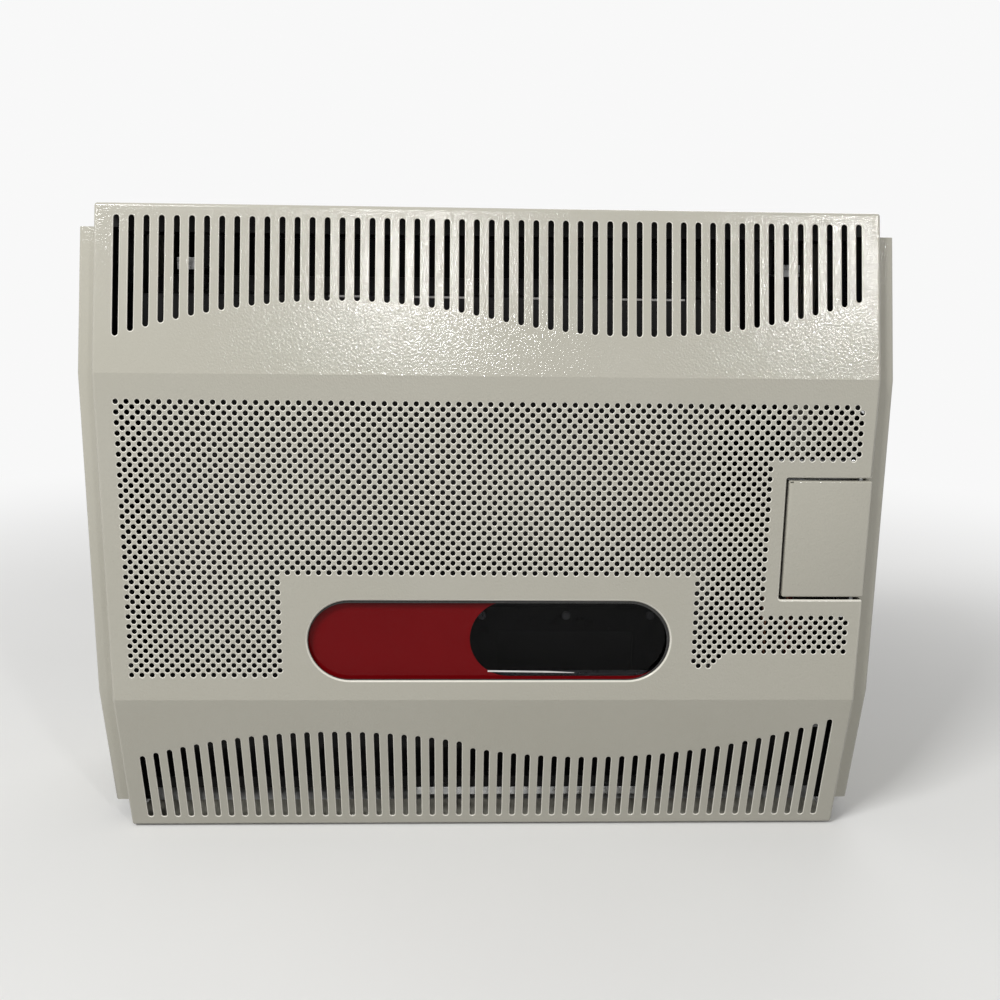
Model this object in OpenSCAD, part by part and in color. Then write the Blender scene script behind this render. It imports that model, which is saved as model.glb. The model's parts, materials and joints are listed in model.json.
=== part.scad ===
// Wall mounted gas heater with a balanced flue, shown hung on its wall plate.
// X runs to the right, Y runs back to the wall, Z runs up. The wall is the plane Y = 0,
// and the origin is the middle of the wall plate's rear face.

/* [Casing] */
// Width of the front panel
panel_w = 530; // [500:1:640]
// Height of the front panel
panel_h = 452; // [440:1:520]
// Distance from the wall to the front face
depth = 200; // [195:1:240]
// Height of the upright middle of the front panel
flat_h = 231; // [225:1:260]
// How far each sloping end of the panel leans back
slope_back = 27; // [20:0.5:35]
// Thickness of the casing's steel sheet
sheet = 1.2; // [0.8:0.1:1.5]
// Rise of the press crown that stiffens the upright middle
crown = 0.3; // [0.2:0.05:0.5]
// Depth of the panel's top and bottom returns
end_return = 37; // [25:1:45]
// How far each side cheek stands out beyond the panel
cheek_out = 14; // [8:0.5:20]
// How far the cheeks sit back from the panel's face
cheek_back = 14; // [12:0.5:18]
// How much shorter than the panel a cheek is at each end
cheek_short = 15.5; // [12:0.5:20]
// Width of a cheek's front flange
cheek_flange = 30; // [26:1:40]
// Width of a cheek's rear flange
rear_flange = 22; // [18:1:26]
// Gap between neighbouring parts that don't touch
gap = 0.3; // [0.2:0.05:0.5]

/* [Grilles] */
// Number of slots across each sloping end
slot_count = 51; // [31:2:51]
// Distance from slot to slot
slot_pitch = 10; // [9:0.1:10]
// Width of a slot
slot_w = 3.9; // [2.5:0.1:4.5]
// Outer end of every slot, measured along the slope from the fold
slot_end = 106; // [100:0.5:108]
// Place across the panel of the upper grille's hump
upper_hump_x = -100; // [-130:1:-80]
// Inner slot end at the upper hump, from the fold
upper_hump = 49.7; // [40:0.1:60]
// Place across the panel of the upper grille's dip
upper_dip_x = 100; // [80:1:130]
// Inner slot end at the upper dip, from the fold
upper_dip = 27.5; // [20:0.1:35]
// Place across the panel of the lower grille's dip
lower_dip_x = -110; // [-130:1:-80]
// Inner slot end at the lower dip, from the fold
lower_dip = 27.9; // [20:0.1:35]
// Place across the panel of the lower grille's hump
lower_hump_x = 76; // [60:1:110]
// Inner slot end at the lower hump, from the fold
lower_hump = 51.2; // [40:0.1:60]
// Radius of the arcs that the slot ends follow
wave_r = 450; // [420:10:700]

/* [Perforation] */
// Half the distance between holes in a row, and the distance between rows
hole_step = 3.577; // [3.4:0.001:3.577]
// Diameter of a hole, less than the step so that no hole crosses a bend of the crown
hole_d = 3.56; // [2.4:0.02:3.56]
// Number of columns in the staggered field
hole_cols = 142; // [130:2:142]
// Plain margin between the upper fold and the top row
field_above = 19.1; // [18:0.1:26]
// Least plain margin between the bottom row and the lower fold
field_below = 18.6; // [17:0.1:26]
// Plain margin beside the window
window_margin_x = 16.9; // [12:0.1:20]
// Plain margin above the window
window_margin_z = 18.3; // [14:0.1:22]
// Plain margin beside the control flap
flap_margin_x = 9.7; // [8:0.1:14]
// Plain margin above and below the control flap
flap_margin_z = 11.6; // [9:0.1:14]

/* [Window] */
// Length of the window opening, round ends included
window_w = 256; // [220:1:270]
// Height of the window opening
window_h = 59; // [50:1:62]
// Middle of the window across the panel
window_x = 1; // [-10:1:10]
// Middle of the window above the lower fold
window_up = 44.3; // [43:0.1:47.5]
// Thickness of the glass pane
glass_t = 4; // [3:0.5:5]
// Thickness of the felt between panel and glass
felt_t = 4; // [2:0.5:5]
// How far the pane reaches beyond the opening at the ends
glass_over_x = 10; // [8:1:14]
// How far the pane reaches above and below the opening
glass_over_z = 6.5; // [5:0.1:7]
// Length of the clear part of the pane
clear_w = 144; // [120:1:180]
// Height of the clear part of the pane
clear_h = 56; // [48:1:58]
// How far the clear part passes the opening's right end
clear_past = 2; // [0:0.5:4]
// Thickness of the printed layer
print_t = 0.2; // [0.1:0.05:0.4]
// Thickness of the rails that hold the pane
rail_t = 1; // [0.8:0.1:1.4]
// Reach of the lower rail's lip over the pane
rail_lip = 11; // [9:0.5:12]
// Reach of the upper rail's lip over the pane
rail_lip_top = 6; // [4:0.5:7]

/* [Control flap] */
// Width of the flap opening, up to the panel's right edge
flap_w = 60; // [56:0.5:64]
// Height of the flap opening
flap_h = 87.5; // [80:0.5:92]
// Middle of the flap above the panel's middle
flap_z = 3.5; // [0:0.5:6]
// Gap round the flap
flap_gap = 2; // [1.5:0.1:2.5]
// Depth of the flap's folded edges
flap_return = 9.5; // [8:0.5:10]
// Distance of the hinge axis from the panel's face and from its side
hinge_in = 6.5; // [6:0.1:6.8]
// Diameter of the hinge pins
pin_d = 3; // [2:0.1:3.4]
// Radial running clearance of pins and spindle
run = 0.05; // [0.02:0.01:0.08]

/* [Controls] */
// Knob axis, measured in from the panel's right edge
knob_in = 35; // [33:0.5:37]
// Knob axis above the panel's middle
knob_z = 16; // [13:0.5:18]
// Diameter of the knob
knob_d = 40; // [34:1:41]
// Height of the knob
knob_h = 20; // [16:0.5:22]
// Travel of the knob when it is pushed
knob_push = 4; // [3:0.5:5]
// Diameter of the valve spindle
spindle_d = 10; // [8:0.5:12]
// Igniter axis, measured in from the panel's right edge
igniter_in = 19; // [17:0.5:20]
// Igniter axis below the panel's middle
igniter_drop = 26; // [25:0.5:28]
// Diameter of the igniter's button
button_d = 11; // [9:0.5:12]
// Travel of the igniter's button
button_push = 6; // [4:0.5:7]
// Diameter of the igniter's body
igniter_d = 16; // [15:0.5:18]
// Distance from the panel's face to the control plate
plate_back = 40; // [38:0.5:44]
// Thickness of the control plate and of the heat shields
shield_t = 1; // [0.8:0.1:1.4]

/* [Heat exchanger] */
// Left side of the exchanger
chamber_left = -245; // [-246:1:-230]
// Right side of the exchanger
chamber_right = 165; // [155:1:168]
// Bottom of the exchanger
chamber_bottom = -170; // [-175:1:-166]
// Top of the exchanger
chamber_top = 166; // [150:1:170]
// Distance from the panel's face to the exchanger
chamber_set = 40; // [38:0.5:45]
// Distance from the wall to the exchanger
chamber_off = 45; // [42:1:50]
// Wall of the exchanger shells
shell_t = 1.5; // [1.2:0.1:2]
// Width of the bolted flange round the shells
shell_flange = 12; // [11:0.5:12.5]
// Thickness of the gasket between the shells
shell_gasket = 2; // [1.5:0.1:3]
// Corner radius of the shells
shell_r = 5; // [3:0.5:5]
// Number of upright ribs pressed in the front shell
rib_count = 7; // [3:1:8]
// Height by which a rib stands out
rib_rise = 3; // [2:0.5:4]

/* [Sight glass] */
// Width of the sight opening
sight_w = 100; // [80:1:110]
// Height of the sight opening
sight_h = 50; // [40:1:54]
// Middle of the sight opening across the heater
sight_x = 58; // [50:1:65]
// Middle of the sight opening below the middle of the window
sight_down = 28.8; // [25:0.1:32.5]
// Thickness of the sight glass
sight_t = 3; // [2:0.5:4]

/* [Burner] */
// Diameter of the burner tube
burner_d = 24; // [20:1:25]
// Burner axis, measured back from the exchanger's front
burner_back = 42; // [40:0.5:44]
// Burner axis above the exchanger's bottom
burner_up = 32; // [28:0.5:34]
// Number of gas ports along the burner
port_count = 42; // [30:1:45]
// Distance from port to port
port_pitch = 7; // [5:0.5:7]
// Diameter of the main gas pipe
main_pipe_d = 10; // [8:0.5:10]
// Diameter of the pilot gas pipe
pilot_pipe_d = 4; // [3:0.5:5]
// Diameter of the thermocouple
couple_d = 3; // [2:0.5:3.5]
// Diameter of the spark electrode's insulator
electrode_d = 8; // [6:0.5:9]

/* [Flue] */
// Flue axis across the heater
flue_x = -37; // [-45:1:-30]
// Flue axis above the panel's middle
flue_z = 70; // [60:1:75]
// Bore of the exhaust stub
exhaust_d = 60; // [55:1:65]
// Bore of the air intake collar
intake_d = 100; // [95:1:105]
// Length of the intake collar
intake_len = 25; // [20:1:25]
// Wall of the flue stub and of the collar
flue_t = 1.2; // [1:0.1:1.5]

/* [Gas inlet] */
// Outer diameter of the inlet's male thread, as for a half inch pipe
inlet_d = 20.96; // [20.96:0.01:20.96]
// Length of the male thread
inlet_len = 16; // [14:1:18]
// Outer diameter of the inlet pipe
inlet_pipe_d = 16; // [14:1:16]
// Lowest point of the inlet below the panel's middle
inlet_low = 214; // [208:1:216]

/* [Wall fixing] */
// Distance between the fixing holes across
fix_w = 460; // [400:5:480]
// Distance between the fixing holes in height
fix_h = 310; // [290:5:320]
// Middle of the fixing holes above the panel's middle
fix_z = -35; // [-40:1:-30]
// Diameter of the fixing holes
fix_d = 7; // [5:0.5:9]

/* [Hidden] */
$fn = 48;
eps = 0.01;
front = -depth;
slope_h = (panel_h - flat_h) / 2;
lean = atan(slope_back / slope_h);
outer_x = panel_w / 2 + cheek_out;
cheek_h = panel_h - 2 * cheek_short;
wall_in = outer_x - sheet;
plate_y = -sheet;
grid_x0 = -(hole_cols - 2) * hole_step / 2;
hole_top = flat_h / 2 - field_above;
hole_rows = floor((flat_h - field_above - field_below) / hole_step) + 1;
window_z = window_up - flat_h / 2;
sight_z = window_z - sight_down;
stud_x = panel_w / 2 - 9;
stud_z = 95;
stud_d = 6;
stud_neck = 4.8;
stud_head = 8;

// Window, from the panel's rear face inwards
felt_y = crown_y(window_z - window_h / 2 - glass_over_z - hole_step) + sheet;
glass_y = felt_y + felt_t;
print_y = glass_y + glass_t;
rail_y = print_y + print_t;
glass_w = window_w + 2 * glass_over_x;
glass_h = window_h + 2 * glass_over_z;
clear_x = window_x + window_w / 2 + clear_past - clear_w / 2;

// Control flap and its hinge
flap_right = panel_w / 2;
flap_left = flap_right - flap_w;
flap_low = flap_z - flap_h / 2;
flap_top = flap_z + flap_h / 2;
hinge_x = flap_right - hinge_in;
hinge_y = front + hinge_in;
ear_gap = 1.4;
ear_t = 1.2;
magnet_d = 8;
magnet_t = 3;
catch_z = flap_low + 13;
catch_w = 8;

// Controls
knob_x = panel_w / 2 - knob_in;
knob_y = front + 13;
knob_skirt = 3;
plate_front = front + plate_back;
fascia_t = 1;
valve_y = plate_front + fascia_t + shield_t;
valve_w = 52;
valve_left = knob_x - 26;
valve_d = 70;
valve_drop = 28;
valve_rise = 28;
valve_low = knob_z - valve_drop;
bonnet_d = 26;
bonnet_y = plate_front - 1.5;
spring_seat = 10;
washer_t = 1.2;
washer_y = knob_y + knob_h + 0.1;
igniter_x = panel_w / 2 - igniter_in;
igniter_z = -igniter_drop;
igniter_len = 50;
button_y = plate_front - 11;
button_len = 21;
bezel_t = 2;

// Exchanger
chamber_y = front + chamber_set;
chamber_back = -chamber_off;
split_y = chamber_back - 40;
split_front = split_y - shell_gasket / 2;
split_rear = split_y + shell_gasket / 2;
chamber_w = chamber_right - chamber_left;
chamber_h = chamber_top - chamber_bottom;
chamber_x = (chamber_left + chamber_right) / 2;
chamber_z = (chamber_top + chamber_bottom) / 2;

// Burner and what comes in beside it, through the access cover
burner_y = chamber_y + burner_back;
burner_z = chamber_bottom + burner_up;
burner_left = chamber_left + 30;
burner_right = chamber_right - 35;
cover_t = 2;
cover_gasket = 1.5;
cover_in = chamber_right + cover_gasket;
cover_out = cover_in + cover_t;
pilot_y = burner_y - 15;
pilot_z = burner_z - 12;
couple_y = burner_y - 21;
couple_z = burner_z;
electrode_y = burner_y - 26;
electrode_z = burner_z + 14;
pilot_tip = chamber_right - 65;
pilot_plate_x = pilot_tip + 12;
bend_r = 15;
drop_x = valve_left + 10;
inlet_y = burner_y + 20;
inlet_x = drop_x;
bulb_d = 7;
bulb_len = 70;
capillary_d = 2;
capillary_x = valve_left + 22;
capillary_y = electrode_y - 7;
bulb_x = wall_in - 10;
lead_d = 4;

// Fasteners
screw_d = 3.8;
screw_hole = 4;
screw_head = 7;
bolt_d = 5;
bolt_hole = 5.5;
bolt_af = 8;

// ---- Shared shapes ----

module block(lo, hi) { translate(lo) cube(hi - lo); }

module rod_x(y, z, x0, x1, d) { translate([x0, y, z]) rotate([0, 90, 0]) cylinder(h = x1 - x0, d = d); }

module rod_y(x, z, y0, y1, d) { translate([x, y0, z]) rotate([-90, 0, 0]) cylinder(h = y1 - y0, d = d); }

module rod_z(x, y, z0, z1, d) { translate([x, y, z0]) cylinder(h = z1 - z0, d = d); }

// Extrudes an outline drawn in Y and Z along X.
module along_x(x0, x1) { translate([x0, 0, 0]) rotate([90, 0, 90]) linear_extrude(x1 - x0) children(); }

// Extrudes an outline drawn in X and Z along Y.
module along_y(y0, y1) { translate([0, y1, 0]) rotate([90, 0, 0]) linear_extrude(y1 - y0) children(); }

module at(x, z) { translate([x, z]) children(); }

// A slot outline with round ends, lying along X.
module stadium(w, h) {
    square([w - h, h], center = true);
    for (s = [-1, 1]) translate([s * (w - h) / 2, 0]) circle(d = h);
}

// A rectangle with round corners.
module round_rect(w, h, r) {
    square([w - 2 * r, h], center = true);
    square([w, h - 2 * r], center = true);
    for (a = [-1, 1], b = [-1, 1]) translate([a * (w / 2 - r), b * (h / 2 - r)]) circle(r = r);
}

module mirrored_x() {
    children();
    mirror([1, 0, 0]) children();
}

// A pipe that runs up local Z and bends on the way. Each step is [length, roll, turn]: it runs
// straight, then turns by an angle towards the direction that roll picks out of local X.
module pipe(steps, d, bore, bend, i = 0) {
    step = steps[i];
    linear_extrude(step[0]) ring(d, bore);
    if (i < len(steps) - 1)
        translate([0, 0, step[0]]) rotate([0, 0, step[1]]) {
            translate([bend, 0, 0]) rotate([90, 0, 180]) rotate_extrude(angle = step[2])
                translate([bend, 0]) ring(d, bore);
            translate([bend, 0, 0]) rotate([0, step[2], 0]) translate([-bend, 0, 0])
                rotate([0, 0, -step[1]]) pipe(steps, d, bore, bend, i + 1);
        }
}

module ring(d, bore) {
    difference() {
        circle(d = d);
        if (bore > 0) circle(d = bore);
    }
}

// A coil spring: one wire swept along a helix, with six sides and eight rings a turn.
module coil(d, wire, length, turns) {
    sides = 6;
    rings = turns * 8;
    function centre(k) = [cos(45 * k) * (d - wire) / 2, sin(45 * k) * (d - wire) / 2,
                          wire / 2 + (length - wire) * k / rings];
    points = [for (k = [0:rings], s = [0:sides - 1])
        centre(k) + wire / 2 * [cos(45 * k) * cos(60 * s), sin(45 * k) * cos(60 * s), sin(60 * s)]];
    walls = [for (k = [0:rings - 1], s = [0:sides - 1], half = [0, 1])
        let (a = k * sides + s, b = k * sides + (s + 1) % sides, c = b + sides, e = a + sides)
        half == 0 ? [a, e, c] : [a, c, b]];
    caps = [for (s = [1:sides - 2], half = [0, 1])
        half == 0 ? [0, s, s + 1] : [rings * sides, rings * sides + s + 1, rings * sides + s]];
    polyhedron(points, concat(walls, caps));
}

// A pan head screw along Z: the head sits on z = 0 and the shank points down.
module screw(shank) {
    cylinder(h = 2, d1 = screw_head, d2 = screw_head - 2);
    translate([0, 0, -shank]) cylinder(h = shank + eps, d = screw_d);
}

// ---- The folded face line that the panel and the cheeks share ----

function fold_z(off) = flat_h / 2 - off * tan(lean / 2);
function face_y(z, off = 0) = front + off + max(0, abs(z) - fold_z(off)) * tan(lean);

// The outline between two offsets of the face line.
module face_band(near, far, half_h) {
    polygon([[face_y(half_h, near), half_h], [face_y(0, near), fold_z(near)],
             [face_y(0, near), -fold_z(near)], [face_y(half_h, near), -half_h],
             [face_y(half_h, far), -half_h], [face_y(0, far), -fold_z(far)],
             [face_y(0, far), fold_z(far)], [face_y(half_h, far), half_h]]);
}

// The crown is drawn as narrow flats, each as high as two rows of holes.
function crown_z(k) = hole_top + hole_step / 2 - 2 * hole_step * k;
function crown_y(z) = front - crown * (1 - pow(2 * z / flat_h, 2));

module crowned_sheet() {
    flats = [for (k = [0:ceil(hole_rows / 2)]) crown_z(k)];
    line = concat([flat_h / 2], flats, [-flat_h / 2]);
    polygon(concat([[face_y(panel_h / 2), panel_h / 2]], [for (z = line) [crown_y(z), z]],
        [[face_y(panel_h / 2), -panel_h / 2], [face_y(panel_h / 2, sheet), -panel_h / 2],
         [face_y(0, sheet), -fold_z(sheet)]],
        [for (k = [len(flats) - 1:-1:0]) [crown_y(flats[k]) + sheet, flats[k]]],
        [[face_y(0, sheet), fold_z(sheet)], [face_y(panel_h / 2, sheet), panel_h / 2]]));
}

// ---- Front panel ----

function arc_end(x, x0, end, r) = end + pow(x - x0, 2) / (2 * r);
upper_turn = (upper_hump_x + upper_dip_x) / 2;
lower_turn = (lower_hump_x + lower_dip_x) / 2;
function upper_inner(x) = x < upper_turn ? arc_end(x, upper_hump_x, upper_hump, -wave_r)
                                         : arc_end(x, upper_dip_x, upper_dip, wave_r);
function lower_inner(x) = x < lower_turn ? arc_end(x, lower_dip_x, lower_dip, wave_r)
                                         : arc_end(x, lower_hump_x, lower_hump, -wave_r);

// One row of slots, drawn on the upper slope.
module slope_slots(lower) {
    translate([0, front, flat_h / 2]) rotate([-lean, 0, 0])
        for (k = [0:slot_count - 1]) {
            x = (k - (slot_count - 1) / 2) * slot_pitch;
            inner = lower ? lower_inner(x) : upper_inner(x);
            along_y(-2, sheet + 2) at(x, (inner + slot_end) / 2) rotate(90) stadium(slot_end - inner, slot_w);
        }
}

function grid_x(i) = grid_x0 + i * hole_step;
function grid_z(j) = hole_top - j * hole_step;
function by_window(x, z) = abs(x - window_x) < window_w / 2 + window_margin_x
    && z < window_z + window_h / 2 + window_margin_z;
function by_flap(x, z) = x > flap_left - flap_margin_x
    && z < flap_top + flap_margin_z && z > flap_low - flap_margin_z;
// Under the window's right side the field stops early, in a short slanting tail.
tail_row = hole_rows - 5;
tail_col = 116;
function in_tail(i, j) = j < tail_row || grid_x(i) < window_x
    || (j < tail_row + 3 && i + j <= tail_col + tail_row);
function has_hole(i, j) = (i + j) % 2 == 0 && !by_window(grid_x(i), grid_z(j))
    && !by_flap(grid_x(i), grid_z(j)) && in_tail(i, j);

module perforation() {
    for (j = [0:hole_rows - 1], i = [0:hole_cols - 1])
        if (has_hole(i, j)) rod_y(grid_x(i), grid_z(j), front - 1, front + 2 * sheet, hole_d);
}

module front_panel() {
    side_y = cheek_back - gap;
    color("ivory") difference() {
        union() {
            along_x(-panel_w / 2, panel_w / 2) crowned_sheet();
            mirrored_x() along_x(panel_w / 2 - sheet, panel_w / 2) face_band(0, side_y, panel_h / 2);
            for (s = [-1, 1]) {
                z = s * (panel_h - sheet) / 2;
                translate([0, face_y(panel_h / 2) + end_return / 2, z])
                    cube([panel_w, end_return, sheet], center = true);
            }
        }
        slope_slots(false);
        mirror([0, 0, 1]) slope_slots(true);
        perforation();
        along_y(front - 1, front + 3 * sheet) at(window_x, window_z) stadium(window_w, window_h);
        block([flap_left, front - 1, flap_low], [flap_right + 1, front + cheek_back, flap_top]);
    }
}

// Shouldered studs behind the panel drop into the cheeks' keyholes.
module panel_studs() {
    color("silver") mirrored_x() for (s = [-1, 1]) {
        rod_y(stud_x, s * stud_z, front + sheet, front + cheek_back, stud_d);
        rod_y(stud_x, s * stud_z, front + cheek_back - eps, front + cheek_back + sheet + gap, stud_neck);
        rod_y(stud_x, s * stud_z, front + cheek_back + sheet + gap - eps,
            front + cheek_back + sheet + 3, stud_head);
    }
}

// ---- Side cheeks, wall plate, rails ----

rivet_z = [-170, -60, 60, 170];
module rivet_places() {
    for (z = rivet_z) translate([outer_x - rear_flange / 2, 0, z]) rotate([-90, 0, 0]) children();
}

// Keyhole: the stud's head passes the round hole, and its neck drops down the slot.
module keyholes() {
    for (s = [-1, 1]) {
        rod_y(stud_x, s * stud_z + 9, front + cheek_back - 1, front + cheek_back + sheet + 1, stud_head + 1);
        block([stud_x - stud_neck / 2 - gap, front + cheek_back - 1, s * stud_z],
            [stud_x + stud_neck / 2 + gap, front + cheek_back + sheet + 1, s * stud_z + 9]);
        rod_y(stud_x, s * stud_z, front + cheek_back - 1, front + cheek_back + sheet + 1, stud_neck + 2 * gap);
    }
}

module cheek() {
    difference() {
        union() {
            along_x(wall_in, outer_x) polygon(concat(
                [[plate_y, cheek_h / 2], [face_y(cheek_h / 2, cheek_back), cheek_h / 2],
                 [face_y(0, cheek_back), fold_z(cheek_back)], [face_y(0, cheek_back), -fold_z(cheek_back)],
                 [face_y(cheek_h / 2, cheek_back), -cheek_h / 2], [plate_y, -cheek_h / 2]]));
            along_x(outer_x - cheek_flange, outer_x) face_band(cheek_back, cheek_back + sheet, cheek_h / 2);
            block([outer_x - rear_flange, plate_y - sheet, -cheek_h / 2], [outer_x, plate_y, cheek_h / 2]);
        }
        keyholes();
        rivet_places() translate([0, 0, plate_y - 2 * sheet]) cylinder(h = 4 * sheet, d = screw_hole);
        for (y = rail_screw_y, s = [-1, 1]) rod_x(y, s * rail_screw_z, wall_in - 1, outer_x + 1, screw_hole);
    }
}

module left_cheek() { color("ivory") mirror([1, 0, 0]) cheek(); }

module right_cheek() {
    color("ivory") difference() {
        cheek();
        block([outer_x - cheek_flange - 1, front + cheek_back - 1, flap_low - 6],
            [flap_right + gap, front + cheek_back + sheet + 1, flap_top + 6]);
        for (z = bracket_screw_z) rod_x(bracket_screw_y, z, wall_in - 1, outer_x + 1, screw_hole);
    }
}

module wall_plate() {
    half_w = outer_x - 2;
    half_h = cheek_h / 2 - 2 * sheet;
    color("gainsboro") difference() {
        union() {
            block([-half_w, plate_y, -half_h], [half_w, 0, half_h]);
            for (s = [-1, 1]) translate([0, -7, s * (half_h - sheet / 2)])
                cube([2 * (outer_x - rear_flange - 2), 14, sheet], center = true);
        }
        rod_y(flue_x, flue_z, plate_y - 1, 1, intake_d + 2 * flue_t + 2 * gap);
        mirrored_x() rivet_places() translate([0, 0, plate_y - 1]) cylinder(h = sheet + 2, d = screw_hole);
        for (a = [-1, 1], b = [-1, 1]) rod_y(a * fix_w / 2, fix_z + b * fix_h / 2, plate_y - 1, 1, fix_d);
        for (x = box_screw_x, z = box_screw_z) rod_y(x, z, plate_y - 1, 1, screw_hole);
    }
}

// Domed rivets through each cheek's rear flange and the wall plate, flush at the wall.
module casing_rivets() {
    color("silver") mirrored_x() rivet_places() {
        translate([0, 0, plate_y - sheet - eps]) cylinder(h = 2 * sheet + eps, d = screw_d);
        translate([0, 0, plate_y - sheet - 1.5]) cylinder(h = 1.5, d1 = screw_head - 3, d2 = screw_head);
    }
}

rail_screw_z = cheek_h / 2 - 8;
rail_set = 16;
rail_deep = 28;
rail_side = 12;
rail_air = 16;
rail_ear = 60;
rail_y0 = face_y(cheek_h / 2, cheek_back) + rail_set;
rail_screw_y = [rail_y0 + 8, rail_y0 + 20];

// A cross bar that ties the cheeks together. Its rear upstand keeps the floor out of sight behind the
// lower grille and leaves the air a gap under the exchanger.
module bottom_rail() {
    low = -cheek_h / 2 + sheet;
    rear = rail_y0 + rail_deep;
    color("dimgray") difference() {
        union() {
            block([-wall_in, rail_y0, low], [wall_in, rail_y0 + rail_deep, low + sheet]);
            block([-wall_in, rail_y0, low], [wall_in, rail_y0 + sheet, low + 9]);
            block([-wall_in, rear - sheet, low], [wall_in, rear, chamber_bottom - rail_air]);
            mirrored_x() block([wall_in - rail_ear, rear - sheet, low], [wall_in, rear, chamber_bottom - 2]);
            mirrored_x() block([wall_in - sheet, rail_y0, low],
                [wall_in, rail_y0 + rail_deep, low + rail_side]);
        }
        mirrored_x() for (y = rail_screw_y) rod_x(y, -rail_screw_z, wall_in - 3, wall_in + 1, screw_hole);
    }
}

// The plate that turns the warm air forward, out of the upper grille. Its rear lies on the wall plate.
module top_deflector() {
    high = cheek_h / 2 - sheet;
    lip_x = panel_w / 2 - 2 * sheet;
    color("dimgray") difference() {
        union() {
            block([-wall_in, rail_y0, high - sheet], [wall_in, plate_y - sheet - gap, high]);
            mirrored_x() block([-eps, rail_y0, high - sheet],
                [lip_x, rail_y0 + sheet, panel_h / 2 - sheet - gap]);
            mirrored_x() block([wall_in - sheet, rail_y0, high - rail_side - 2],
                [wall_in, rail_y0 + rail_deep, high]);
        }
        mirrored_x() for (y = rail_screw_y) rod_x(y, rail_screw_z, wall_in - 3, wall_in + 1, screw_hole);
    }
}

module rail_screws() {
    color("silver") mirrored_x() for (y = rail_screw_y, s = [-1, 1])
        translate([wall_in - sheet, y, s * rail_screw_z]) rotate([0, -90, 0]) screw(2 * sheet - 0.1);
}

// Two straps that come forward from the deflector to just behind the upper grille.
stop_x = 204;
stop_w = 16;
stop_z = 183;
module panel_stops() {
    y0 = rail_y0 - 26;
    y1 = rail_y0 + 46;
    top = cheek_h / 2 - 2 * sheet;
    color("silver") mirrored_x() {
        block([stop_x - stop_w / 2, y0, stop_z], [stop_x + stop_w / 2, y0 + shield_t, stop_z + 8]);
        block([stop_x - stop_w / 2, y0, stop_z], [stop_x + stop_w / 2, y1, stop_z + shield_t]);
        block([stop_x - stop_w / 2, y1 - shield_t, stop_z], [stop_x + stop_w / 2, y1, top]);
        block([stop_x - stop_w / 2, y1 - shield_t, top - shield_t], [stop_x + stop_w / 2, y1 + 12, top]);
    }
}

// A bright strip in front of the bottom rail, on two arms.
strip_x = [-54, 118];
module lower_strip() {
    y = rail_y0 - 18;
    low = -cheek_h / 2 + 4;
    color("silver") {
        block([strip_x[0], y, low], [strip_x[1], y + shield_t, low + 6]);
        for (x = [strip_x[0] + 14, strip_x[1] - 24]) block([x, y, low], [x + 10, rail_y0, low + shield_t]);
    }
}

// ---- Window ----

module window_felt() {
    color("black") along_y(felt_y, glass_y) at(window_x, window_z) difference() {
        square([glass_w, glass_h], center = true);
        stadium(window_w + 4, window_h + 4);
    }
}

module window_glass() {
    color([0.3, 0.3, 0.3, 0.5]) along_y(glass_y, print_y) at(window_x, window_z)
        square([glass_w, glass_h], center = true);
}

module window_print() {
    color("firebrick") along_y(print_y, rail_y) difference() {
        at(window_x, window_z) square([glass_w, glass_h], center = true);
        at(clear_x, window_z) stadium(clear_w, clear_h);
    }
}

// A folded rail along one long edge of the pane. It is drawn for the top edge.
module rail(lip) {
    edge = glass_h / 2 + gap;
    foot = 6;
    at_front = front + sheet;
    translate([window_x, 0, 0]) {
        block([-glass_w / 2, at_front, edge], [glass_w / 2, at_front + rail_t, edge + foot]);
        block([-glass_w / 2, at_front, edge], [glass_w / 2, rail_y + rail_t, edge + rail_t]);
        block([-glass_w / 2, rail_y, edge - gap - lip], [glass_w / 2, rail_y + rail_t, edge + rail_t]);
    }
}

module window_rails() {
    color("silver") translate([0, 0, window_z]) {
        rail(rail_lip_top);
        mirror([0, 0, 1]) rail(rail_lip);
    }
}

// ---- Control flap ----

module control_flap() {
    left = flap_left + flap_gap;
    low = flap_low + flap_gap;
    top = flap_top - flap_gap;
    deep = front + flap_return;
    color("ivory") difference() {
        union() {
            block([left, front, low], [flap_right, front + sheet, top]);
            block([left, front, low], [left + sheet, deep, top]);
            block([flap_right - sheet, front, low], [flap_right, deep, top]);
            block([left, front, low], [flap_right, deep, low + sheet]);
            block([left, front, top - sheet], [flap_right, deep, top]);
            block([left, deep - sheet, catch_z - catch_w / 2], [left + 10, deep, catch_z + catch_w / 2]);
        }
        rod_z(hinge_x, hinge_y, low - 1, top + 1, pin_d);
        block([left - 1, front - 1, top - 1.5], [left + 3, front + sheet + 1, top + 1]);
    }
}

module flap_pins() {
    reach = flap_gap + ear_gap + ear_t + 1;
    color("silver") {
        rod_z(hinge_x, hinge_y, flap_top - flap_gap - sheet - 1, flap_top - flap_gap + reach, pin_d);
        rod_z(hinge_x, hinge_y, flap_low + flap_gap - reach, flap_low + flap_gap + sheet + 1, pin_d);
    }
}

// Angle pieces behind the panel that carry the hinge pins, drawn for the upper one.
module ear(edge) {
    y = front + sheet;
    difference() {
        union() {
            block([hinge_x - 9, y, edge + ear_gap], [hinge_x + 4, hinge_y + 4, edge + ear_gap + ear_t]);
            block([hinge_x - 9, y, edge + ear_gap], [hinge_x + 4, y + ear_t, edge + 13]);
        }
        rod_z(hinge_x, hinge_y, edge, edge + 14, pin_d + 2 * run);
    }
}

module flap_ears() {
    color("silver") {
        ear(flap_top);
        mirror([0, 0, 1]) ear(-flap_low);
    }
}

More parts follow.
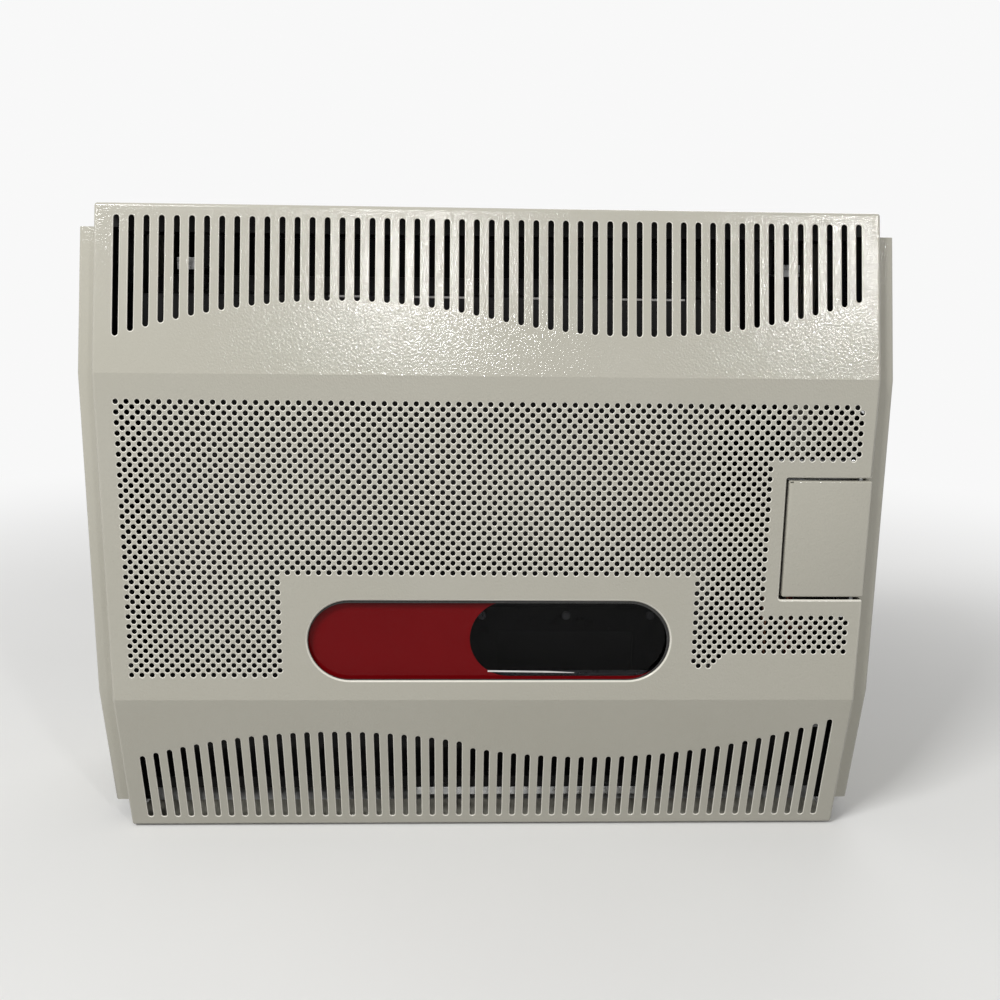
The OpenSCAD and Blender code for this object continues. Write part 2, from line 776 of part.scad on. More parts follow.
// A small arm from the panel's rear to behind the flap's lug, with a magnet on it.
module catch_bracket() {
    y = front + sheet;
    arm_y = front + flap_return + gap + magnet_t;
    color("silver") {
        block([flap_left - 12, y, catch_z - catch_w / 2], [flap_left - 2, y + ear_t, catch_z + catch_w / 2]);
        block([flap_left - 3.2, y, catch_z - catch_w / 2],
            [flap_left - 2, arm_y + ear_t, catch_z + catch_w / 2]);
        block([flap_left - 3.2, arm_y, catch_z - catch_w / 2],
            [flap_left + 13, arm_y + ear_t, catch_z + catch_w / 2]);
    }
}

module flap_magnet() {
    y = front + flap_return + gap;
    color("dimgray") rod_y(flap_left + flap_gap + 6, catch_z, y, y + magnet_t, magnet_d);
}

// ---- Control plate, valve and knob ----

plate_edge = 6;
bracket_screw_y = plate_front + 40;
bracket_screw_z = [flap_low + 8, flap_top - 8];

module control_outline() {
    translate([flap_left - plate_edge, flap_low - plate_edge])
        square([wall_in - flap_left + plate_edge, flap_h + 2 * plate_edge]);
}

module control_holes() {
    at(knob_x, knob_z) circle(d = bonnet_d + 1);
    at(igniter_x, igniter_z) circle(d = igniter_d + 0.2);
    for (p = plate_screw_at) at(p[0], p[1]) circle(d = screw_hole);
}

plate_screw_at = [for (x = [flap_left, wall_in - 14], z = [flap_low - 1, flap_top + 1]) [x, z]];

module fascia() {
    color("silver") along_y(plate_front, plate_front + fascia_t) difference() {
        at((flap_left + wall_in) / 2 - 5, flap_z)
            round_rect(wall_in - flap_left - 2, flap_h + 2 * plate_edge, 4);
        control_holes();
    }
}

module control_plate() {
    y = plate_front + fascia_t;
    x = wall_in - shield_t;
    color("silver") {
        difference() {
            along_y(y, y + shield_t) difference() {
                control_outline();
                control_holes();
            }
            for (z = valve_screw_z) rod_y(valve_screw_x, z, y - 1, y + 2, screw_hole);
        }
        difference() {
            block([x, y, flap_low - plate_edge], [wall_in, y + 60, flap_top + plate_edge]);
            for (z = bracket_screw_z) rod_x(bracket_screw_y, z, x - 1, wall_in + 1, screw_hole);
        }
    }
}

valve_screw_x = valve_left + 5;
valve_screw_z = [valve_low + 6, knob_z + valve_rise - 6];

module plate_screws() {
    y = plate_front;
    color("silver") {
        for (p = plate_screw_at) translate([p[0], y, p[1]]) rotate([90, 0, 0]) screw(fascia_t + shield_t + 1);
        for (z = bracket_screw_z) translate([wall_in - shield_t, bracket_screw_y, z]) rotate([0, -90, 0])
            screw(shield_t + sheet - 0.1);
        for (z = valve_screw_z) rod_y(valve_screw_x, z, y + fascia_t, y + fascia_t + shield_t + 7, screw_d);
    }
}

// The valve's ports from front to rear: capillary, thermocouple, pilot, main, inlet.
// Each is [x, y, pipe diameter, boss diameter].
ports = [[capillary_x, capillary_y, capillary_d, 6], [drop_x, couple_y, couple_d, 6],
         [drop_x, pilot_y, pilot_pipe_d, 7], [drop_x, burner_y, main_pipe_d, 13],
         [inlet_x, inlet_y, inlet_pipe_d, 20]];
port_seat = 8;

module gas_valve() {
    color("lightgray") difference() {
        union() {
            block([valve_left, valve_y, valve_low],
                [valve_left + valve_w, valve_y + valve_d, knob_z + valve_rise]);
            rod_y(knob_x, knob_z, bonnet_y, valve_y + eps, bonnet_d);
            for (p = ports) rod_z(p[0], p[1], valve_low - 5, valve_low + eps, p[3]);
            rod_y(knob_x, knob_z, valve_y + valve_d - eps, valve_y + valve_d + 6, 20);
        }
        rod_y(knob_x, knob_z, bonnet_y - 1, bonnet_y + spring_seat, bonnet_d - 6.8);
        rod_y(knob_x, knob_z, bonnet_y, bonnet_y + spring_seat + 24, spindle_d + 2 * run);
        for (p = ports) rod_z(p[0], p[1], valve_low - 6, valve_low - 5 + port_seat, p[2] + 0.2);
        for (z = valve_screw_z) rod_y(valve_screw_x, z, valve_y - 1, valve_y + 8, screw_hole);
    }
}

module valve_spindle() {
    tip = knob_y + 4;
    color("silver") difference() {
        rod_y(knob_x, knob_z, tip, bonnet_y + spring_seat + 18, spindle_d);
        block([knob_x - spindle_d, tip - 1, knob_z + spindle_d / 2 - 2],
            [knob_x + spindle_d, tip + 12, knob_z + spindle_d]);
    }
}

flute_count = 24;
module control_knob() {
    bore_y = knob_y + 4 - gap;
    color("dimgray") difference() {
        union() {
            rod_y(knob_x, knob_z, knob_y, knob_y + knob_h, knob_d - 7);
            rod_y(knob_x, knob_z, knob_y + knob_h - knob_skirt, knob_y + knob_h, knob_d);
        }
        rod_y(knob_x, knob_z, bore_y, knob_y + knob_h + 1, spindle_d + 2 * run);
        for (k = [1:flute_count - 1]) translate([knob_x, 0, knob_z]) rotate([0, k * 360 / flute_count, 0])
            rod_y(0, (knob_d - 7) / 2 + 0.8, knob_y - 1, knob_y + knob_h - knob_skirt - 1, 3);
        block([knob_x - 0.8, knob_y - 1, knob_z + 5], [knob_x + 0.8, knob_y + 0.6, knob_z + knob_d / 2 - 5]);
    }
}

// The washer moves in and out with the knob, and the spring under it brings both back.
module thrust_washer() {
    color("silver") along_y(washer_y, washer_y + washer_t) at(knob_x, knob_z)
        ring(bonnet_d - 6.8 - 2 * gap, spindle_d + 2 * run);
}

module knob_spring() {
    y = washer_y + washer_t;
    color("silver") translate([knob_x, y, knob_z]) rotate([-90, 0, 0])
        coil(bonnet_d - 8, 1.2, bonnet_y + spring_seat - y, 4);
}

// ---- Igniter ----

igniter_y = plate_front - bezel_t;
igniter_end = plate_front + igniter_len;
seat_y = button_y + button_len + 18;

module igniter_body() {
    color("dimgray") difference() {
        union() {
            rod_y(igniter_x, igniter_z, igniter_y, plate_front, igniter_d + 4);
            rod_y(igniter_x, igniter_z, plate_front - eps, igniter_end, igniter_d);
        }
        rod_y(igniter_x, igniter_z, igniter_y - 1, seat_y, button_d + 2 * run);
    }
}

module igniter_nut() {
    y = plate_front + fascia_t + shield_t;
    color("silver") translate([igniter_x, y, igniter_z]) rotate([-90, 0, 0]) difference() {
        cylinder(h = 4, d = igniter_d + 7, $fn = 6);
        translate([0, 0, -1]) cylinder(h = 6, d = igniter_d + 0.1);
    }
}

module igniter_button() {
    color("firebrick") difference() {
        rod_y(igniter_x, igniter_z, button_y, button_y + button_len, button_d);
        rod_y(igniter_x, igniter_z, button_y + 6, button_y + button_len + 1, button_d - 4);
    }
}

module button_spring() {
    y = button_y + button_len;
    color("silver") translate([igniter_x, y, igniter_z]) rotate([-90, 0, 0])
        coil(button_d - 0.6, 1, seat_y - y, 5);
}

// The high voltage lead is held all the way, from the igniter's rear to the electrode.
module ignition_lead() {
    bend = 10;
    down = igniter_z - electrode_z - 2 * bend;
    forward = igniter_end + 6 + bend - electrode_y - 2 * bend;
    left = igniter_x - bend - (cover_out + 22);
    color("firebrick") translate([igniter_x, igniter_end, igniter_z]) rotate([-90, 0, 0])
        pipe([[6, 90, 90], [down, 90, 90], [forward, 180, 90], [left, 0, 0]], lead_d, 0, bend);
}

// ---- Heat exchanger ----

module chamber_outline(grow) {
    at(chamber_x, chamber_z) round_rect(chamber_w + 2 * grow, chamber_h + 2 * grow, shell_r + grow);
}

// Bolts run round the flange: along the top and bottom, then up the sides.
bolt_line = shell_flange / 2;
bolts_across = 6;
bolts_up = 4;
bolt_in = 30;
bolt_low = 50;
bolt_at = concat(
    [for (k = [0:bolts_across - 1], s = [-1, 1])
        [chamber_left + bolt_in + k * (chamber_w - 2 * bolt_in) / (bolts_across - 1),
            chamber_z + s * (chamber_h / 2 + bolt_line)]],
    [for (k = [0:bolts_up - 1], s = [-1, 1])
        [chamber_x + s * (chamber_w / 2 + bolt_line),
            chamber_bottom + bolt_low + k * (chamber_h - 2 * bolt_low) / (bolts_up - 1)]]);

module flange_outline() {
    difference() {
        chamber_outline(shell_flange);
        chamber_outline(-shell_t);
        for (p = bolt_at) at(p[0], p[1]) circle(d = bolt_hole);
    }
}

module shell_wall() {
    difference() {
        chamber_outline(0);
        chamber_outline(-shell_t);
    }
}

sight_edge = 6;
sight_border = 12;
sight_screw_in = sight_edge + sight_border / 2;
sight_screw_at = [for (a = [-1, 0, 1], b = [-1, 1])
    [sight_x + a * (sight_w / 2 + sight_screw_in), sight_z + b * (sight_h / 2 + sight_screw_in)]];

cover_low = burner_z - 26;
cover_high = burner_z + 34;
cover_front = electrode_y - 13;
cover_rear = burner_y + 22;
cover_screw_at = [for (y = [cover_front + 4, cover_rear - 4], z = [cover_low + 4, cover_high - 4]) [y, z]];

module cover_outline() {
    translate([cover_front, cover_low]) square([cover_rear - cover_front, cover_high - cover_low]);
}

module cover_opening() {
    translate([cover_front + 8, cover_low + 8])
        square([cover_rear - cover_front - 16, cover_high - cover_low - 16]);
}

module cover_screw_holes() { for (p = cover_screw_at) translate(p) circle(d = screw_hole); }

rib_pitch = 26;
rib_w = 8;
module front_shell() {
    rib_low = sight_z + sight_h / 2 + sight_edge + sight_border + 12;
    color([0.12, 0.12, 0.13]) difference() {
        union() {
            along_y(chamber_y, chamber_y + shell_t) chamber_outline(0);
            along_y(chamber_y, split_front) shell_wall();
            along_y(split_front - shell_t, split_front) flange_outline();
            for (k = [0:rib_count - 1]) {
                x = chamber_x + (k - (rib_count - 1) / 2) * 2 * rib_pitch;
                along_y(chamber_y - rib_rise, chamber_y + eps) at(x, (rib_low + chamber_top - 20) / 2)
                    rotate(90) stadium(chamber_top - 20 - rib_low, rib_w);
            }
        }
        along_y(chamber_y - 1, chamber_y + 3) at(sight_x, sight_z) square([sight_w, sight_h], center = true);
        for (p = sight_screw_at) rod_y(p[0], p[1], chamber_y - 1, chamber_y + 3, screw_hole);
        along_x(chamber_right - 3, chamber_right + 1) {
            cover_opening();
            cover_screw_holes();
        }
    }
}

air_slot_w = 60;
air_slot_h = 20;
air_slot_z = chamber_bottom + 26;
module rear_shell() {
    color([0.12, 0.12, 0.13]) difference() {
        union() {
            along_y(chamber_back - shell_t, chamber_back) chamber_outline(0);
            along_y(split_rear, chamber_back) shell_wall();
            along_y(split_rear, split_rear + shell_t) flange_outline();
        }
        rod_y(flue_x, flue_z, chamber_back - 3, chamber_back + 1, exhaust_d + 2 * flue_t + 0.2);
        block([flue_x - air_slot_w / 2, chamber_back - 3, air_slot_z - air_slot_h / 2],
            [flue_x + air_slot_w / 2, chamber_back + 1, air_slot_z + air_slot_h / 2]);
    }
}

module shell_gasket_ring() {
    color("whitesmoke") along_y(split_front, split_rear) flange_outline();
}

module shell_bolts() {
    head = split_front - shell_t;
    end = split_rear + shell_t;
    color("silver") for (p = bolt_at) translate([p[0], 0, p[1]]) rotate([-90, 0, 0]) {
        translate([0, 0, head - 3.5]) cylinder(h = 3.5, d = bolt_af / cos(30), $fn = 6);
        translate([0, 0, head - eps]) cylinder(h = end - head + 6, d = bolt_d);
        translate([0, 0, end]) cylinder(h = 4, d = bolt_af / cos(30), $fn = 6);
    }
}

// Four hat brackets between the wall plate and the rear shell's flange.
bracket_h = 30;
bracket_z = [chamber_bottom + 92, chamber_top - 92];
module shell_bracket() {
    edge = chamber_right + shell_flange - 2;
    y = split_rear + shell_t;
    for (z = bracket_z) {
        low = z - bracket_h / 2;
        high = z + bracket_h / 2;
        block([chamber_right + 1, y, low], [edge, y + shell_t, high]);
        block([edge - shell_t, y, low], [edge, plate_y, high]);
        block([edge - 14, plate_y - shell_t, low], [edge, plate_y, high]);
    }
}

module shell_brackets() {
    color("silver") {
        shell_bracket();
        translate([2 * chamber_x, 0, 0]) mirror([1, 0, 0]) shell_bracket();
    }
}

// A plate in front of the exhaust that sends the flue gas the long way round.
baffle_past = 50;
baffle_half = 50;
baffle_set = 30;
module flue_baffle() {
    low = [flue_x - exhaust_d / 2 - baffle_past, chamber_back - baffle_set, flue_z - baffle_half];
    high = [flue_x + exhaust_d / 2 + baffle_past, chamber_back - shell_t, flue_z + baffle_half];
    color("gray") {
        block(low, [high[0], low[1] + shell_t, high[2]]);
        block(low, [low[0] + shell_t, high[1], high[2]]);
        block([high[0] - shell_t, low[1], low[2]], high);
    }
}

// ---- Sight glass ----

sight_felt = 1.5;
module sight_gasket() {
    color("whitesmoke") along_y(chamber_y - sight_felt, chamber_y) at(sight_x, sight_z) difference() {
        square([sight_w + 2 * sight_edge, sight_h + 2 * sight_edge], center = true);
        square([sight_w, sight_h], center = true);
    }
}

module sight_glass() {
    y = chamber_y - sight_felt;
    color([0.8, 0.6, 0.4, 0.5]) along_y(y - sight_t, y) at(sight_x, sight_z)
        square([sight_w + 2 * sight_edge, sight_h + 2 * sight_edge], center = true);
}

module sight_frame() {
    y = chamber_y - sight_felt - sight_t;
    outer = sight_edge + sight_border;
    color("gray") difference() {
        along_y(y - shell_t, chamber_y) at(sight_x, sight_z)
            square([sight_w + 2 * outer, sight_h + 2 * outer], center = true);
        along_y(y, chamber_y + 1) at(sight_x, sight_z)
            square([sight_w + 2 * sight_edge + gap, sight_h + 2 * sight_edge + gap], center = true);
        along_y(y - shell_t - 1, chamber_y + 1) at(sight_x, sight_z)
            square([sight_w, sight_h], center = true);
        for (p = sight_screw_at) rod_y(p[0], p[1], y - shell_t - 1, chamber_y + 1, screw_hole);
    }
}

// ---- Access cover, burner and pilot ----

// What passes through the cover: [y, z, diameter].
passes = [[burner_y, burner_z, 14], [pilot_y, pilot_z, pilot_pipe_d],
          [couple_y, couple_z, couple_d], [electrode_y, electrode_z, electrode_d]];

module access_cover() {
    color("silver") along_x(cover_in, cover_out) difference() {
        cover_outline();
        for (p = passes) translate([p[0], p[1]]) circle(d = p[2] + 0.2);
        cover_screw_holes();
    }
}

module access_gasket() {
    color("whitesmoke") along_x(chamber_right, cover_in) difference() {
        cover_outline();
        cover_opening();
        cover_screw_holes();
    }
}

// Self-tapping screws of the sight frame and of the access cover.
module chamber_screws() {
    y = chamber_y - sight_felt - sight_t - shell_t;
    color("silver") {
        for (p = sight_screw_at) translate([p[0], y, p[1]]) rotate([90, 0, 0])
            screw(chamber_y - y + shell_t + 4);
        for (p = cover_screw_at) translate([cover_out, p[0], p[1]]) rotate([0, 90, 0])
            screw(cover_out - chamber_right + shell_t + 3);
    }
}

burner_t = 1;
mouth_d = burner_d + 6;
mouth_len = 15;
module burner_tube() {
    color("lightgray") difference() {
        union() {
            rod_x(burner_y, burner_z, burner_left, burner_right, burner_d);
            translate([burner_right - eps, burner_y, burner_z]) rotate([0, 90, 0])
                cylinder(h = mouth_len, d1 = burner_d, d2 = mouth_d);
        }
        rod_x(burner_y, burner_z, burner_left + burner_t, burner_right + eps, burner_d - 2 * burner_t);
        translate([burner_right, burner_y, burner_z]) rotate([0, 90, 0])
            cylinder(h = mouth_len + eps, d1 = burner_d - 2 * burner_t, d2 = mouth_d - 2 * burner_t);
        for (k = [0:port_count - 1]) {
            x = burner_left + 14 + k * port_pitch;
            block([x, burner_y - 5, burner_z + burner_d / 2 - 4],
                [x + 1.5, burner_y + 5, burner_z + burner_d / 2 + 1]);
        }
    }
}

saddle_x = [burner_left + 8, burner_right - 50];
saddle_rim = 4;
saddle_foot = 10;
module burner_saddles() {
    floor_z = chamber_bottom + shell_t;
    color("gray") for (x = saddle_x) {
        difference() {
            block([x, burner_y - burner_d / 2 - saddle_rim, floor_z],
                [x + shell_t, burner_y + burner_d / 2 + saddle_rim, burner_z]);
            rod_x(burner_y, burner_z, x - 1, x + shell_t + 1, burner_d + 0.1);
        }
        block([x, burner_y - burner_d / 2, floor_z],
            [x + saddle_foot, burner_y + burner_d / 2, floor_z + shell_t]);
    }
}

// A threaded body held in the cover by a hexagon outside and a lock nut inside.
module injector() {
    nozzle = burner_right + mouth_len - 6;
    color("goldenrod") difference() {
        union() {
            rod_x(burner_y, burner_z, nozzle + 10, cover_out + eps, 14);
            translate([nozzle, burner_y, burner_z]) rotate([0, 90, 0])
                cylinder(h = 10 + eps, d1 = 5, d2 = 14);
            translate([cover_out, burner_y, burner_z]) rotate([0, 90, 0]) cylinder(h = 12, d = 20, $fn = 6);
            translate([chamber_right - shell_t - 4, burner_y, burner_z]) rotate([0, 90, 0])
                cylinder(h = 4, d = 20, $fn = 6);
        }
        rod_x(burner_y, burner_z, nozzle - 1, cover_out + 13, 1.2);
        rod_x(burner_y, burner_z, nozzle + 12, cover_out + 13, main_pipe_d + 0.2);
    }
}

// The main pipe drops from the valve, turns left, and seats in the injector.
module main_gas_pipe() {
    down = valve_low - 5 + port_seat - burner_z - bend_r;
    left = drop_x - bend_r - (cover_out + 1);
    color("silver") translate([drop_x, burner_y, valve_low - 5 + port_seat]) rotate([180, 0, 0])
        pipe([[down, 180, 90], [left, 0, 0]], main_pipe_d, main_pipe_d - 2, bend_r);
}

module pilot_gas_pipe() {
    down = valve_low - 5 + port_seat - pilot_z - bend_r;
    left = drop_x - bend_r - (pilot_tip + 16);
    color("goldenrod") translate([drop_x, pilot_y, valve_low - 5 + port_seat]) rotate([180, 0, 0])
        pipe([[down, 180, 90], [left, 0, 0]], pilot_pipe_d, pilot_pipe_d - 1.6, bend_r);
}

module thermocouple() {
    down = valve_low - 5 + port_seat - couple_z - bend_r;
    left = drop_x - bend_r - (pilot_tip - 6);
    color("goldenrod") translate([drop_x, couple_y, valve_low - 5 + port_seat]) rotate([180, 0, 0])
        pipe([[down, 180, 90], [left, 0, 0]], couple_d, 0, bend_r);
}

// The pilot's nozzle and hood, with the pipe seated in its rear.
module pilot_burner() {
    color("silver") difference() {
        union() {
            rod_x(pilot_y, pilot_z, pilot_tip, pilot_tip + 24, 8);
            rod_x(pilot_y, pilot_z, pilot_tip - 4, pilot_tip + 4, 9.6);
        }
        rod_x(pilot_y, pilot_z, pilot_tip - 5, pilot_tip - 1, 7);
        rod_x(pilot_y, pilot_z, pilot_tip - 2, pilot_tip + 25, 1);
        rod_x(pilot_y, pilot_z, pilot_tip + 16, pilot_tip + 25, pilot_pipe_d + 0.2);
    }
}

// One plate keeps the pilot, the thermocouple and the electrode in their places.
module pilot_plate() {
    color("gray") along_x(pilot_plate_x, pilot_plate_x + shell_t) difference() {
        translate([electrode_y - 8, pilot_z - 9])
            square([burner_y - electrode_y + 8, electrode_z - pilot_z + 18]);
        translate([burner_y, burner_z]) circle(d = burner_d + 0.1);
        translate([pilot_y, pilot_z]) circle(d = 8.2);
        translate([couple_y, couple_z]) circle(d = couple_d + 0.2);
        translate([electrode_y, electrode_z]) circle(d = electrode_d + 0.2);
        translate([burner_y - 1, burner_z + burner_d / 2 - 2]) square([10, 40]);
    }
}

module spark_electrode() {
    color("white") difference() {
        rod_x(electrode_y, electrode_z, pilot_tip + 6, cover_out + 14, electrode_d);
        rod_x(electrode_y, electrode_z, pilot_tip, cover_out + 15, 2.6);
    }
}

module electrode_rod() {
    color("silver") rod_x(electrode_y, electrode_z, pilot_tip - 8, cover_out + 22, 2.4);
}

// ---- Thermostat bulb, gas inlet, flue ----

bulb_bend = 8;
bulb_drop = 60;
bulb_neck = 20;
bulb_top = valve_low - 5 + port_seat - bulb_drop - 2 * bulb_bend - bulb_neck;

// The capillary runs from the valve to a bulb clipped low on the right cheek.
module thermostat_bulb() {
    across = bulb_x - capillary_x - 2 * bulb_bend;
    color("goldenrod") {
        translate([capillary_x, capillary_y, valve_low - 5 + port_seat]) rotate([180, 0, 0])
            pipe([[bulb_drop, 0, 90], [across, 180, 90], [bulb_neck, 0, 0]], capillary_d, 0, bulb_bend);
        rod_z(bulb_x, capillary_y, bulb_top - bulb_len, bulb_top + eps, bulb_d);
    }
}

// Two sheet loops round the bulb, each with a foot on the cheek.
module bulb_clip() {
    foot = bulb_x + bulb_d / 2 + 0.6;
    color("silver") for (z = [bulb_top - 16, bulb_top - bulb_len + 8]) difference() {
        union() {
            rod_z(bulb_x, capillary_y, z, z + 8, bulb_d + 2.4);
            block([foot, capillary_y - 1, z], [wall_in, capillary_y + 1, z + 8]);
            block([wall_in - 1.2, capillary_y - 7, z], [wall_in, capillary_y + 7, z + 8]);
        }
        rod_z(bulb_x, capillary_y, z - 1, z + 9, bulb_d + 0.1);
    }
}

module gas_inlet() {
    thread_top = -inlet_low + inlet_len;
    hex_top = thread_top + 8;
    top = valve_low - 5 + port_seat;
    color("goldenrod") difference() {
        union() {
            rod_z(inlet_x, inlet_y, -inlet_low, thread_top + eps, inlet_d);
            translate([inlet_x, inlet_y, thread_top]) cylinder(h = 8, d = 28, $fn = 6);
            rod_z(inlet_x, inlet_y, hex_top - eps, top, inlet_pipe_d);
        }
        rod_z(inlet_x, inlet_y, -inlet_low - 1, top + 1, inlet_pipe_d - 3);
    }
}

stub_in = 16;
module exhaust_stub() {
    color([0.12, 0.12, 0.13]) along_y(chamber_back - stub_in, chamber_back + 17) at(flue_x, flue_z)
        ring(exhaust_d + 2 * flue_t, exhaust_d);
    color([0.12, 0.12, 0.13]) along_y(chamber_back, chamber_back + shell_t) at(flue_x, flue_z)
        ring(exhaust_d + 18, exhaust_d);
}

// The pressed box that leads fresh air from the intake collar down to the burner.
box_w = intake_d + 24;
box_low = chamber_bottom + 10;
box_high = flue_z + intake_d / 2 + 12;
box_t = 1;
box_rear = plate_y - 4;
box_screw_x = [flue_x - box_w / 2 - 6, flue_x + box_w / 2 + 6];
box_screw_z = [box_low + 20, (box_low + box_high) / 2, box_high - 20];

module air_box() {
    left = flue_x - box_w / 2;
    right = flue_x + box_w / 2;
    color("silver") difference() {
        union() {
            difference() {
                block([left, chamber_back, box_low], [right, box_rear, box_high]);
                block([left + box_t, chamber_back - 1, box_low + box_t],
                    [right - box_t, box_rear - box_t, box_high - box_t]);
            }
            along_y(-intake_len, 0) at(flue_x, flue_z) circle(d = intake_d + 2 * flue_t);
        }
        rod_y(flue_x, flue_z, -intake_len - 1, 1, intake_d);
    }
    color("silver") for (x = box_screw_x) {
        s = x < flue_x ? 1 : -1;
        edge = x < flue_x ? left : right;
        difference() {
            block([min(x - s * 6, edge + s * box_t), plate_y - box_t, box_low],
                [max(x - s * 6, edge + s * box_t), plate_y, box_high]);
            for (z = box_screw_z) rod_y(x, z, plate_y - 3, 1, screw_hole);
            rod_y(flue_x, flue_z, -intake_len - 1, 1, intake_d + 2 * flue_t);
        }
        block([min(edge, edge + s * box_t), box_rear - box_t, box_low],
            [max(edge, edge + s * box_t), plate_y, box_high]);
    }
}

front_panel();
left_cheek();
right_cheek();
wall_plate();
top_deflector();
bottom_rail();
panel_stops();
lower_strip();
panel_studs();
casing_rivets();
rail_screws();
window_felt();
window_glass();
window_print();
window_rails();
control_flap();
flap_pins();
flap_ears();
catch_bracket();
flap_magnet();
control_plate();
fascia();
plate_screws();
gas_valve();
valve_spindle();
control_knob();
thrust_washer();
knob_spring();
igniter_body();
igniter_nut();
igniter_button();
button_spring();
ignition_lead();
front_shell();
rear_shell();
shell_gasket_ring();
shell_bolts();
shell_brackets();
flue_baffle();
sight_glass();
sight_gasket();
sight_frame();
chamber_screws();
access_cover();
access_gasket();
burner_tube();
burner_saddles();
injector();
main_gas_pipe();
pilot_burner();
pilot_plate();
pilot_gas_pipe();
thermocouple();
spark_electrode();
electrode_rod();
thermostat_bulb();
bulb_clip();
gas_inlet();
exhaust_stub();
air_box();
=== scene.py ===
# %% [markdown]
# # Dressing a wall mounted gas heater
#
# The object is a room heater that hangs on a wall. Its front is one folded steel sheet with a
# field of punched holes and two rows of slots. A long dark window shows the flame, and a small
# flap at the right hides the knob and the igniter. The solids and their joints come from a CAD
# model. Here they get their looks: rounded folds, real punched edges, paint, glass and metal.
# All sizes are written in millimetres, and `MM` turns them into Blender's metres.

# %% Load the model that is dressed
import json
import math

import bmesh
import bpy
import numpy as np
from mathutils import Matrix, Vector
from mathutils.geometry import delaunay_2d_cdt


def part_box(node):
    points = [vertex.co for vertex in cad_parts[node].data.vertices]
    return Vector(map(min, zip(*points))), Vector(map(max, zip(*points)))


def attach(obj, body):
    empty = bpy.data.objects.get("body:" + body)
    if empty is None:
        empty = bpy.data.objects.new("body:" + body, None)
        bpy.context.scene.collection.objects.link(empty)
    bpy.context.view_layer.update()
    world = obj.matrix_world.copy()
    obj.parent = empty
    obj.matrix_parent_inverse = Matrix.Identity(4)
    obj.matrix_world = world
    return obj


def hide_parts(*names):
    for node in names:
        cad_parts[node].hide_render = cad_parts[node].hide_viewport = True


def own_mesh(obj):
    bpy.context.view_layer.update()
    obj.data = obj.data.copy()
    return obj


MM = 0.001
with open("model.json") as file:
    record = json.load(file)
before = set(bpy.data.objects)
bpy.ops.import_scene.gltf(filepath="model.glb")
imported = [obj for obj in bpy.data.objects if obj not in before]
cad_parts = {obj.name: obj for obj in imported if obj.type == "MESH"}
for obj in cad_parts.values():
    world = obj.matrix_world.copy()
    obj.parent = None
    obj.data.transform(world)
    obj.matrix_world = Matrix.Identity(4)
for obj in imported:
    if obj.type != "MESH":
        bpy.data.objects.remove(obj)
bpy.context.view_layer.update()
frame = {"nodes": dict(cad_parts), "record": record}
slot_of = {part["node"]: part["material_slot"] for part in frame["record"]["subparts"]}

# %% [markdown]
# ## Camera
# The photographer stood a little left of the middle, about three quarters of a metre away, and
# looked down at the heater. A camera is placed by where it stands and by three turns: how far it
# pans to the right, how far it tilts from straight down, and how far it rolls. The lens length
# sets how much it sees, and it was chosen with the distance, because the two together decide
# how strongly the near edge of an object swells.

# %% Place the camera
camera_place = Vector((-19.3, -945.4, 191.3)) * MM
camera_pan = math.radians(2.023)
camera_tilt = math.radians(77.85)
camera_roll = math.radians(0.751)

camera_data = bpy.data.cameras.new("camera")
camera_data.lens = 40.0
camera_data.sensor_width = 36.0
camera = bpy.data.objects.new("camera", camera_data)
camera.matrix_world = (
    Matrix.Translation(camera_place)
    @ Matrix.Rotation(-camera_pan, 4, "Z")
    @ Matrix.Rotation(camera_tilt, 4, "X")
    @ Matrix.Rotation(camera_roll, 4, "Z")
)
bpy.context.scene.collection.objects.link(camera)
bpy.context.scene.camera = camera
print("camera stands", round(camera_place.length, 2), "m from the wall's middle")

# %% [markdown]
# ## Light
# Soft lamps make soft shadows, as a bright room does. The main lamp hangs high at the left, so
# that the upper slope is brightest and the lower right is darkest. Two small lamps high in front
# are there for their reflections: they make the paint on the upper slope sparkle. The world
# fills the rest with an even light, and the lamps stay low enough that a painted surface shows
# about the colour that its material says.

# %% Hang the lamps


def lamp(name, place, aim, size, power):
    """A soft rectangular lamp at `place` that faces `aim`. Sizes are in metres."""
    data = bpy.data.lights.new(name, "AREA")
    data.shape = "RECTANGLE"
    data.size, data.size_y = size
    data.energy = power
    thing = bpy.data.objects.new(name, data)
    thing.location = place
    thing.rotation_euler = (Vector(aim) - Vector(place)).to_track_quat("-Z", "Y").to_euler()
    bpy.context.scene.collection.objects.link(thing)
    return thing


lamp("main_lamp", (-1.30, -1.72, 1.80), (0, -0.1, 0), (0.75, 0.65), 48.5)
lamp("ceiling_lamp_near", (-0.20, -2.90, 1.57), (0, -0.1, 0.1), (0.26, 0.15), 12.0)
lamp("ceiling_lamp_right", (1.32, -2.80, 1.55), (0, -0.1, 0.1), (0.18, 0.15), 13.0)
lamp("back_lamp", (0.80, 1.80, 1.20), (0, 0, 0), (1.4, 1.0), 10)

# %% [markdown]
# ## World and floor
# A heater on a wall has no ground of its own, so a pale floor lies just under it and
# catches its shadow. The world is a quiet grey as a light, but a camera ray that reaches it
# sees white, and so does a ray that a gloss or a pane sends on. The Light Path node tells these
# kinds of ray from the ones that only light a surface.

# %% Make the world and the floor


def looked_at(nodes, links):
    """1 for rays from the camera, a gloss or a pane, and 0 for rays that only bring light."""
    path = nodes.new("ShaderNodeLightPath")
    looked = path.outputs["Is Camera Ray"]
    for kind in ("Is Glossy Ray", "Is Transmission Ray"):
        either = nodes.new("ShaderNodeMath")
        either.operation = "MAXIMUM"
        links.new(looked, either.inputs[0])
        links.new(path.outputs[kind], either.inputs[1])
        looked = either.outputs["Value"]
    return looked


